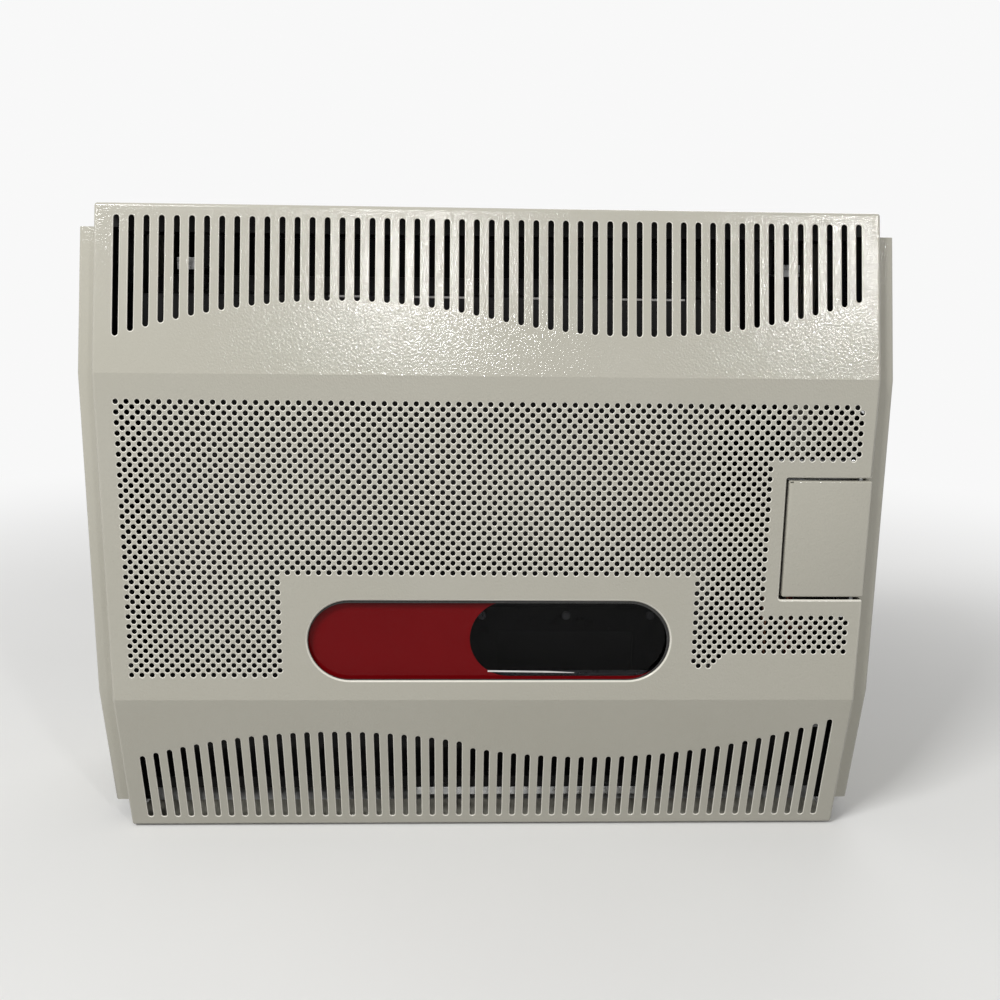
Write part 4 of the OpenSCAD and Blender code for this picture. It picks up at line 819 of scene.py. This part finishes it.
corner_cuts = cut_of[triangles]
edge_number = len(cuts) - 1
in_hole = (corner_cuts[:, 0] == corner_cuts[:, 1]) & (corner_cuts[:, 1] == corner_cuts[:, 2])
in_hole &= (corner_cuts[:, 0] >= 0) & (corner_cuts[:, 0] != edge_number)
in_metal = inside(points[triangles].mean(axis=1), ring_points[ring_cut == edge_number])
triangles = triangles[~in_hole & in_metal]
print("triangles of one skin:", len(triangles))

# %% [markdown]
# ### Bending
# `walk` follows a line that turns at its folds, and gives the place of a point that lies so far
# along it. A point that lies deeper in the sheet turns on a smaller radius and has a shorter way
# to go. So the side tabs, which reach back from the face, meet in a mitre at the slope's fold.

# %% Bend the blank


def walk(far, folds):
    """Place (along, inward) at a distance `far` on a line with folds [(distance, turn, radius)]."""
    along, inward = np.zeros_like(far), np.zeros_like(far)
    heading, done = np.zeros_like(far), np.zeros_like(far)
    for fold_at, turn, radius in folds:
        half = radius * math.tan(turn / 2)
        step = np.maximum(np.minimum(far, fold_at - half) - done, 0)
        along += step * np.cos(heading)
        inward += step * np.sin(heading)
        turned = np.clip((far - (fold_at - half)) / (2 * half), 0, 1) * turn
        ahead, aside = radius * np.sin(turned), radius * (1 - np.cos(turned))
        along += ahead * np.cos(heading) - aside * np.sin(heading)
        inward += ahead * np.sin(heading) + aside * np.cos(heading)
        heading = heading + turned
        done = np.maximum(done, fold_at + half)
    step = np.maximum(far - done, 0)
    return along + step * np.cos(heading), inward + step * np.sin(heading)


def shortened(s, fold_at, turn, deep, reach):
    """How much way a point saves near a fold because it lies `deep` in the sheet."""
    near = np.clip((s - (fold_at - reach)) / reach, 0, 1) + np.clip((s - fold_at) / reach, 0, 1)
    return deep * math.tan(turn / 2) * near


def bend(flat, deep):
    """Points of the blank (u, s) at a depth in the sheet, as places on the folded panel."""
    u, s = np.abs(flat[:, 0]), np.abs(flat[:, 1])
    short = shortened(u, panel_w / 2, math.pi / 2, deep, 5)
    x, back = walk(u - short, [(panel_w / 2 - deep, math.pi / 2, np.maximum(side_fold_r - deep, 0.2))])
    back = back + deep
    on_tab = u > roll_u + 0.01
    way = s - shortened(s, flat_half, lean, back, mitre_reach)
    way = way - np.where(on_tab, 0, shortened(s, slope_end_s, end_turn, back, mitre_reach))
    first = flat_half - back * math.tan(lean / 2)
    second = first + slope_length - back * (math.tan(lean / 2) + math.tan(end_turn / 2))
    second = np.where(on_tab, 1e4, second)
    z, y = walk(way, [(first, lean, np.maximum(slope_fold_r - back, 0.3)),
                      (second, end_turn, np.maximum(end_fold_r - back, 0.2))])
    return np.column_stack([np.sign(flat[:, 0]) * x, front_y + back + y, np.sign(flat[:, 1]) * z]) * MM


# The blank's points as they lie in the front skin and, drawn in to the cut, in the rear skin.
rear_points = points.copy()
rear_points[is_ring] = flared_points[origin[is_ring]]
rim_rows = np.flatnonzero(is_ring)
rim_depth = ring_depth[origin[rim_rows]]
front_skin = bend(points, np.zeros(len(points)))
rear_skin = bend(rear_points, np.full(len(points), sheet))
rim_skin = bend(tight_points[origin[rim_rows]], rim_depth)
verts = np.vstack([front_skin, rear_skin, rim_skin])

rear_of = np.arange(len(points)) + len(points)
rim_of = np.full(len(points), -1)
rim_of[rim_rows] = np.arange(len(rim_rows)) + 2 * len(points)
row_of = np.full(len(ring_points), -1)
row_of[origin[rim_rows]] = rim_rows

faces = [tuple(t) for t in triangles] + [tuple(rear_of[t[::-1]]) for t in triangles]
plate_faces = len(faces)
for a, b in line_pairs:
    a, b = row_of[a], row_of[b]
    faces.append((b, a, rim_of[a], rim_of[b]))
    faces.append((rim_of[b], rim_of[a], rear_of[a], rear_of[b]))
print("bent panel:", len(verts), "points,", len(faces), "faces")

# %% [markdown]
# ### The finished panel
# Faces on the flats are shaded flat, because they really are flat. The rims and folds are shaded
# smooth, so that each shows one soft line of light. The outer half of every rim gets a paler cream
# as painted highlight. The piece then stands for the CAD panel, which stays hidden in the same
# place for the motion and collision tests.

# %% Make the panel's mesh


def piece_from(name, points_in, faces_in, material, body, slot):
    """A new mesh object that rides on a body and takes `material` as its finish. `slot` is not used."""
    mesh = bpy.data.meshes.new(name)
    mesh.from_pydata([tuple(p) for p in points_in], [], faces_in)
    mesh.materials.append(material)
    thing = bpy.data.objects.new(name, mesh)
    bpy.context.scene.collection.objects.link(thing)
    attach(thing, body)
    return thing


def clean(mesh, near=2e-6):
    """Joins points that lie on each other and turns every face outwards."""
    shape = bmesh.new()
    shape.from_mesh(mesh)
    bmesh.ops.remove_doubles(shape, verts=shape.verts, dist=near)
    bmesh.ops.recalc_face_normals(shape, faces=shape.faces)
    open_edges = sum(1 for e in shape.edges if len(e.link_faces) != 2)
    shape.to_mesh(mesh)
    shape.free()
    return open_edges


front = piece_from("folded_front_panel", verts, faces, cream, "casing", "cream_enamel")
smooth = np.ones(len(faces), bool)
middle_u, middle_s = np.abs(points[triangles].mean(axis=1)).T
in_fold = (middle_u > side_band[0]) & (middle_u < roll_u)
for lines in (slope_band, end_band):
    in_fold |= (middle_s > lines[0]) & (middle_s < lines[-1])
smooth[:len(triangles)] = in_fold
smooth[len(triangles):plate_faces] = in_fold
front.data.polygons.foreach_set("use_smooth", smooth)
# Painted highlight: the paler cream goes on the outer half of every rim.
front.data.materials.append(rim_highlight_paint)
paint_number = np.zeros(len(faces), int)
paint_number[plate_faces::2] = 1
front.data.polygons.foreach_set("material_index", paint_number)
front_open = clean(front.data)
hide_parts("front_panel")
print("panel edges that aren't closed:", front_open)

# %% [markdown]
# ## Folds of the cheeks and the flap
# The cheeks and the flap are folded sheet too, but with few edges. The quickest true way is to
# copy the CAD solid, merge its flat faces, and bevel the edges where the sheet turns. `is_fold`
# picks those edges by their place, so the thin cut edges stay nearly sharp and only get a hair
# of rounding.

# %% A helper for folded sheet
MOVING = {"control_flap": "flap"}


def folded_copy(node, name, is_fold, radius, steps=4, cut_edge=0.2, paint=None):
    """A copy of a CAD solid whose folds have a radius, in millimetres. It stands for the solid."""
    shape = bmesh.new()
    shape.from_mesh(frame["nodes"][node].data)
    bmesh.ops.remove_doubles(shape, verts=shape.verts, dist=2e-6)
    bmesh.ops.dissolve_limit(shape, angle_limit=math.radians(1), verts=shape.verts, edges=shape.edges)
    folds = [e for e in shape.edges if len(e.link_faces) == 2 and is_fold(*(v.co / MM for v in e.verts))]
    bmesh.ops.bevel(shape, geom=folds, offset=radius * MM, segments=steps, profile=0.5, affect="EDGES",
                    clamp_overlap=True)
    cuts_left = [e for e in shape.edges if len(e.link_faces) == 2 and e.calc_face_angle(0) > math.radians(50)]
    bmesh.ops.bevel(shape, geom=cuts_left, offset=cut_edge * MM, segments=1, profile=0.5, affect="EDGES",
                    clamp_overlap=True)
    for face in shape.faces:
        face.smooth = True
    mesh = bpy.data.meshes.new(name)
    shape.to_mesh(mesh)
    shape.free()
    mesh.materials.append(paint or finishes[slot_of[node]])
    mesh.set_sharp_from_angle(angle=math.radians(26))
    thing = bpy.data.objects.new(name, mesh)
    bpy.context.scene.collection.objects.link(thing)
    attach(thing, MOVING.get(node, "casing"))
    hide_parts(node)
    return thing


# %% [markdown]
# ## Side cheeks
# A cheek is the side of the casing: a wall that runs back to the plate on the wall, and a flange
# in front that shows as a narrow strip beside the panel. Its long front edge is one fold with
# the same lean as the panel.

# %% Round the cheeks' folds
outer_x = 279.0
cheek_back = 14.0


def face_at(z):
    """Where the face line lies, from front to back, at a height on the heater."""
    return front_y + max(0.0, abs(z) - flat_half) * math.tan(lean)


def on_cheek_fold(a, b):
    """True for an edge that runs up the outer front corner of a cheek."""
    def there(p):
        return abs(abs(p.x) - outer_x) < 0.05 and abs(p.y - face_at(p.z) - cheek_back) < 0.6
    return there(a) and there(b) and abs(a.z - b.z) > 5


cheeks = [folded_copy(side + "_cheek", "folded_" + side + "_cheek", on_cheek_fold, 2.0, paint=cheek_cream_painted_shade)
          for side in ("left", "right")]
print("cheeks:", [len(c.data.polygons) for c in cheeks])

# %% [markdown]
# ## Control flap
# The flap is a shallow tray that closes over the knob. Its four front edges are folds, and the
# upper one catches the light. It moves, so it rides on the body called flap.

# %% Round the flap's folds
flap_gap, flap_return = 2.0, 9.5
flap_sides = {"x": (flap_left + flap_gap, panel_w / 2), "z": (flap_low + flap_gap, flap_top - flap_gap)}


def on_flap_fold(a, b):
    """True for the four outer front edges and the four corners that run back from them."""
    def ends(p):
        at_front = abs(p.y - front_y) < 0.05
        at_side = min(abs(p.x - x) for x in flap_sides["x"]) < 0.05
        at_end = min(abs(p.z - z) for z in flap_sides["z"]) < 0.05
        return at_front, at_side, at_end
    first, second = ends(a), ends(b)
    return sum(m and n for m, n in zip(first, second)) >= 2


flap = folded_copy("control_flap", "folded_control_flap", on_flap_fold, 2.2)
print("flap:", len(flap.data.polygons), "faces")

# %% [markdown]
# ## Window
# The pane is one sheet of glass with a red print behind its left part and smoked glass over the
# clear part. It is made as two flat pieces that meet along the print's round end: the printed
# part is opaque and deep red under gloss, and the smoked part really lets one look in. Two
# pieces give each its own finish with no tricks of light behind glass.

# %% Make the printed and the smoked part of the pane
glass_low, glass_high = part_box("window_glass")
glass_low, glass_high = Vector(glass_low) / MM, Vector(glass_high) / MM
clear_w, clear_h, clear_past = 144.0, 56.0, 2.0
clear_x = window_x + window_w / 2 + clear_past - clear_w / 2
clear_line = stadium((clear_x, window_z), clear_w / 2, clear_h / 2, 24, False)


def upright_plate(outline, y0, y1, holes=()):
    """Points and faces of a plate that stands in X and Z, between two depths."""
    rings = [np.asarray(outline)] + [np.asarray(h) for h in holes]
    flat = np.vstack(rings)
    pairs, start = [], 0
    for ring in rings:
        pairs += [(start + k, start + (k + 1) % len(ring)) for k in range(len(ring))]
        start += len(ring)
    out, _, tris, _, _, _ = delaunay_2d_cdt([Vector(p) for p in flat], pairs, [], 0, 1e-6, True)
    out = np.array([tuple(p) for p in out])
    middles = out[np.array(tris)].mean(axis=1)
    keep = inside(middles, rings[0])
    for ring in rings[1:]:
        keep &= ~inside(middles, ring)
    tris = [tuple(t) for t, good in zip(tris, keep) if good]
    count = len(out)
    where = [(p[0] * MM, y * MM, p[1] * MM) for y in (y0, y1) for p in out]
    skin = tris + [tuple(i + count for i in reversed(t)) for t in tris]
    walls = [(b, a, a + count, b + count) for a, b in pairs]
    return where, skin + walls


pane_outline = [(glass_low.x, glass_low.z), (glass_high.x, glass_low.z), (glass_high.x, glass_high.z),
                (glass_low.x, glass_high.z)]
pane_hair = 0.02
printed = piece_from("printed_pane", *upright_plate(pane_outline, glass_low.y, glass_high.y,
                     [spread_line(clear_line, pane_hair)]), red_print, "casing", "red_print")
smoked = piece_from("smoked_pane", *upright_plate(clear_line, glass_low.y, glass_high.y), tinted_glass,
                    "casing", "tinted_glass")
for pane in (printed, smoked):
    clean(pane.data)
    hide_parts("window_glass")
print("panes:", len(printed.data.polygons), len(smoked.data.polygons))

# %% [markdown]
# ## Seal lip with painted shadow, and a painted glint
# The pane is pressed against a black felt, whose inner edge peeps out round the opening as a
# thin black line. The lip is a ring whose inner outline sits a little low and to the left, so it
# shows more at the top and the right than at the bottom: that extra black is painted shadow.
# Low in the clear part lies a thin pale strip, a painted glint of the rail lip's edge behind the
# pane. It narrows to the right, so the glint fades out.

# %% Add the seal lip with its painted shadow, and the painted glint
lip_front = front_y + sheet + 0.05
lip_outer = stadium((window_x, window_z), window_w / 2 + 0.6, window_h / 2 + 0.6, 30, False)
# The inner outline sits low and to the left, so the black is wider at the top and the right: painted shadow.
lip_inner_shifted_for_shadow = stadium((window_x - 0.7, window_z - 0.75), window_w / 2 - 1.1, window_h / 2 - 1.2, 30, False)
felt_lip_painted_shadow = piece_from("felt_lip_painted_shadow", *upright_plate(lip_outer, lip_front, lip_front + 0.3, [lip_inner_shifted_for_shadow]),
                      finishes["felt"], "casing", "felt")
clean(felt_lip_painted_shadow.data)

# Painted highlight: a pale strip stands for the glint on the rail lip's edge behind the pane, and narrows to the right
# so the glint fades.
painted_glint_line = finish("painted_glint_line", (0.86, 0.85, 0.83, 1), 0.28)
mottle(painted_glint_line, (0.70, 0.69, 0.66, 1), 6)
trim_x0, trim_x1, trim_z, trim_high = 0.0, 62.0, -95.6, 1.1
glint_outline = [(trim_x0, trim_z - trim_high * 0.4), (trim_x1, trim_z - trim_high * 1.1),
                (trim_x1, trim_z - trim_high * 0.8), (trim_x0 + 42, trim_z + trim_high * 0.1),
                (trim_x0, trim_z + trim_high * 0.6)]
trim = piece_from("painted_glint_line", *upright_plate(glint_outline, glass_low.y - 0.25, glass_low.y + 0.1), painted_glint_line,
                  "casing", "plate_steel")
clean(trim.data)
print("lip:", len(felt_lip_painted_shadow.data.polygons), "faces; trim line:", len(trim.data.polygons), "faces")

# %% [markdown]
# ## Control knob
# The knob is moulded plastic, 33 mm across the grip, with a thin skirt behind it. It could be a
# cylinder with grooves cut out of it, but moulded flutes have no sharp edges. So the outline of
# each ring of points is a circle that dips in 24 places, and the rings are stacked from front to
# rear: a hollowed face, a round rim, the fluted grip and the skirt. The dips fade out towards
# the face, as they do where the mould opens.

# %% Build the knob from rings of points
knob_at = Vector((230.0, 0.0, 16.0))
knob_front, knob_high, grip_r, skirt_r = -187.0, 20.0, 16.5, 20.0
flutes, samples = 24, 24 * 8

# Each ring: how far it is behind the face, its radius, and how deep its flutes are.
knob_rings = [(1.2, 1.0, 0), (1.2, 9.5, 0), (0.9, 11.5, 0), (0.25, 13.2, 0), (0.0, 14.2, 0), (0.15, 15.2, 0.1),
              (0.6, 16.0, 0.45), (1.3, 16.4, 0.8), (2.6, 16.5, 1.0), (14.6, 16.5, 1.0), (15.8, 16.5, 0.6),
              (16.6, 16.8, 0.0), (17.0, 18.4, 0), (17.2, 19.4, 0), (17.6, 19.9, 0), (19.6, 20.0, 0), (20.0, 19.6, 0),
              (20.0, 5.2, 0), (3.7, 5.2, 0)]


def flute_dip(angle):
    """0 between two flutes and 1 in the middle of one. The pointer's place has none."""
    wave = 0.5 + 0.5 * math.cos(angle * flutes)
    near_pointer = abs((angle + math.pi) % (2 * math.pi) - math.pi) < math.pi / flutes
    return 0.0 if near_pointer else max(0.0, wave - 0.25) / 0.75


def ring_of(back, radius, dip):
    """One ring of points. The angle starts at the top and turns to the right."""
    around = []
    for k in range(samples):
        angle = 2 * math.pi * k / samples
        r = radius - dip * flute_dip(angle)
        around.append(((knob_at.x + r * math.sin(angle)) * MM, (knob_front + back) * MM,
                       (knob_at.z + r * math.cos(angle)) * MM))
    return around


def lathe_faces(ring_count, count):
    """Faces between stacked rings, closed with one face at each end."""
    skin = []
    for row in range(ring_count - 1):
        for k in range(count):
            a, b = row * count + k, row * count + (k + 1) % count
            skin.append((a, b, b + count, a + count))
    first = tuple(range(count))
    last = tuple(reversed(range((ring_count - 1) * count, ring_count * count)))
    return skin + [first, last]


knob_points = [p for row in knob_rings for p in ring_of(*row)]
knob = piece_from("fluted_knob", knob_points, lathe_faces(len(knob_rings), samples), finishes["black_plastic"],
                  "knob", "black_plastic")
clean(knob.data)
for face in knob.data.polygons:
    face.use_smooth = True
knob.data.set_sharp_from_angle(angle=math.radians(40))
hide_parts("control_knob")
print("knob:", len(knob.data.polygons), "faces")

# %% [markdown]
# ## Pointer and dial
# A white line on the knob shows its setting. On the knob it is a thin bar that lies in the
# plastic and runs from the face over the rim. The scale on the aluminium plate behind it is
# printed: a ring of short bars round the knob and a few plain numbers. The knob turns to the
# left to open the gas, so the scale runs to the left as well, from 0 at the top. Both are flat
# strips, a few hundredths of a millimetre thick, which is about what ink is.

# %% Print the pointer and the scale
white_fill = finish("white_fill", seen(228, 227, 220), 0.4)
mottle(white_fill, seen(215, 214, 206), 3)
dial_ink = finish("dial_ink", (0.018, 0.018, 0.02, 1), 0.5)
mottle(dial_ink, (0.035, 0.035, 0.036, 1), 2)


def bars(name, corners, y0, y1, material, body, slot):
    """Flat bars that stand in X and Z. Each bar is four corners in millimetres."""
    where, skin = [], []
    for quad in corners:
        start = len(where)
        where += [(x * MM, y * MM, z * MM) for y in (y0, y1) for x, z in quad]
        a, b, c, d, e, f, g, h = range(start, start + 8)
        skin += [(a, b, c, d), (h, g, f, e), (a, e, f, b), (b, f, g, c), (c, g, h, d), (d, h, e, a)]
    thing = piece_from(name, where, skin, material, body, slot)
    clean(thing.data)
    return thing


def radial_bar(angle, inner, outer, width):
    """A bar that points away from the knob's middle, at an angle from the top."""
    out = Vector((math.sin(angle), math.cos(angle)))
    aside = Vector((out.y, -out.x)) * width / 2
    middle = Vector((knob_at.x, knob_at.z))
    return [tuple(middle + out * r + aside * s) for r, s in ((inner, -1), (outer, -1), (outer, 1), (inner, 1))]


pointer = bars("knob_pointer", [radial_bar(0, 6.0, 14.6, 1.3)], knob_front - 0.02, knob_front + 1.6, white_fill,
               "knob", "black_plastic")

fascia_low, fascia_high = (Vector(corner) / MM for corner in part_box("fascia"))
ink_front = fascia_low.y - 0.03
scale_bars = [radial_bar(-math.radians(45 * k), 20.7, 22.6 if k % 2 else 21.8, 0.7 if k % 2 else 1.0)
              for k in range(7)]

SEGMENTS = {"0": "abcdef", "1": "bc", "2": "abged", "3": "abgcd"}
STROKE = {"a": (0, 2, 1, 2), "b": (1, 1, 1, 2), "c": (1, 0, 1, 1), "d": (0, 0, 1, 0), "e": (0, 0, 0, 1),
          "f": (0, 1, 0, 2), "g": (0, 1, 1, 1)}


def number_bars(text, x, z, size=1.4, width=0.42):
    """A number drawn with straight strokes, as a counter shows it, centred at (x, z)."""
    out = []
    for stroke in SEGMENTS[text]:
        x0, z0, x1, z1 = (v * size for v in STROKE[stroke])
        grow = width / 2
        x0, x1, z0, z1 = x0 - grow, x1 + grow, z0 - grow, z1 + grow
        left, low = x - size / 2, z - size
        out.append([(left + x0, low + z0), (left + x1, low + z0), (left + x1, low + z1), (left + x0, low + z1)])
    return out


for text, degrees in (("0", 0), ("1", 90), ("2", 180), ("3", 270)):
    turn = -math.radians(degrees)
    reach = {"0": 24.9, "1": 23.6, "2": 24.9, "3": 24.2}[text]
    scale_bars += number_bars(text, knob_at.x + reach * math.sin(turn), knob_at.z + reach * math.cos(turn))
dial = bars("dial_scale", scale_bars, ink_front, fascia_low.y + 0.05, dial_ink, "casing", "black_plastic")
print("scale bars:", len(scale_bars), "on a plate", [round(v, 1) for v in (fascia_high - fascia_low)])

# %% [markdown]
# ## Painted glints on the chamber's top edge
# Through the upper grille one sees short bright lines on the top edge of the burner chamber.
# They are painted highlight: short pale bars on that edge stand for the light it catches, while
# the sheet round them is black enamel.

# %% Lay the painted glints
# Painted highlight: pale, half metallic paint for the bars.
edge_glint_paint = finish("edge_glint_paint", (0.80, 0.79, 0.77, 1), 0.35, Metallic=0.3)
mottle(edge_glint_paint, (0.45, 0.43, 0.40, 1), 4)
grain(edge_glint_paint, 1.2, 0.10)
chamber_top, chamber_front = 166.0, -160.0
glint_runs = [(-112, -90), (-58, -18), (24, 34), (90, 136)]
glint_bars = [[(x0, chamber_top - 0.7), (x1, chamber_top - 0.7), (x1, chamber_top + 0.6), (x0, chamber_top + 0.6)]
              for x0, x1 in glint_runs]
chamber_edge_glints = bars("shell_edge_glints", glint_bars, chamber_front - 0.5, chamber_front + 0.9, edge_glint_paint, "casing", "stainless")
print("weld runs:", len(glint_runs))

# %% [markdown]
# ## Springs
# Two coil springs sit behind the knob and the igniter's button, and both get shorter when they
# are pressed. A solid that rides on one body can't do that. Here each spring only gets a copy of
# its own that rides on the casing in place of the CAD solid, at its full length.

# %% Copy the springs


def pressed_spring(node):
    """A copy of a spring that rides on the casing in place of the CAD solid. Gives back its length in millimetres."""
    low, high = (Vector(corner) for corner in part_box(node))
    middle, length = (low + high) / 2, (high.y - low.y) / MM
    thing = bpy.data.objects.new("pressed_" + node, frame["nodes"][node].data.copy())
    bpy.context.scene.collection.objects.link(thing)
    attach(thing, "casing")
    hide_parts(node)
    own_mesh(thing)
    return round(length, 1)


print("spring lengths:", pressed_spring("knob_spring"),
      pressed_spring("button_spring"))
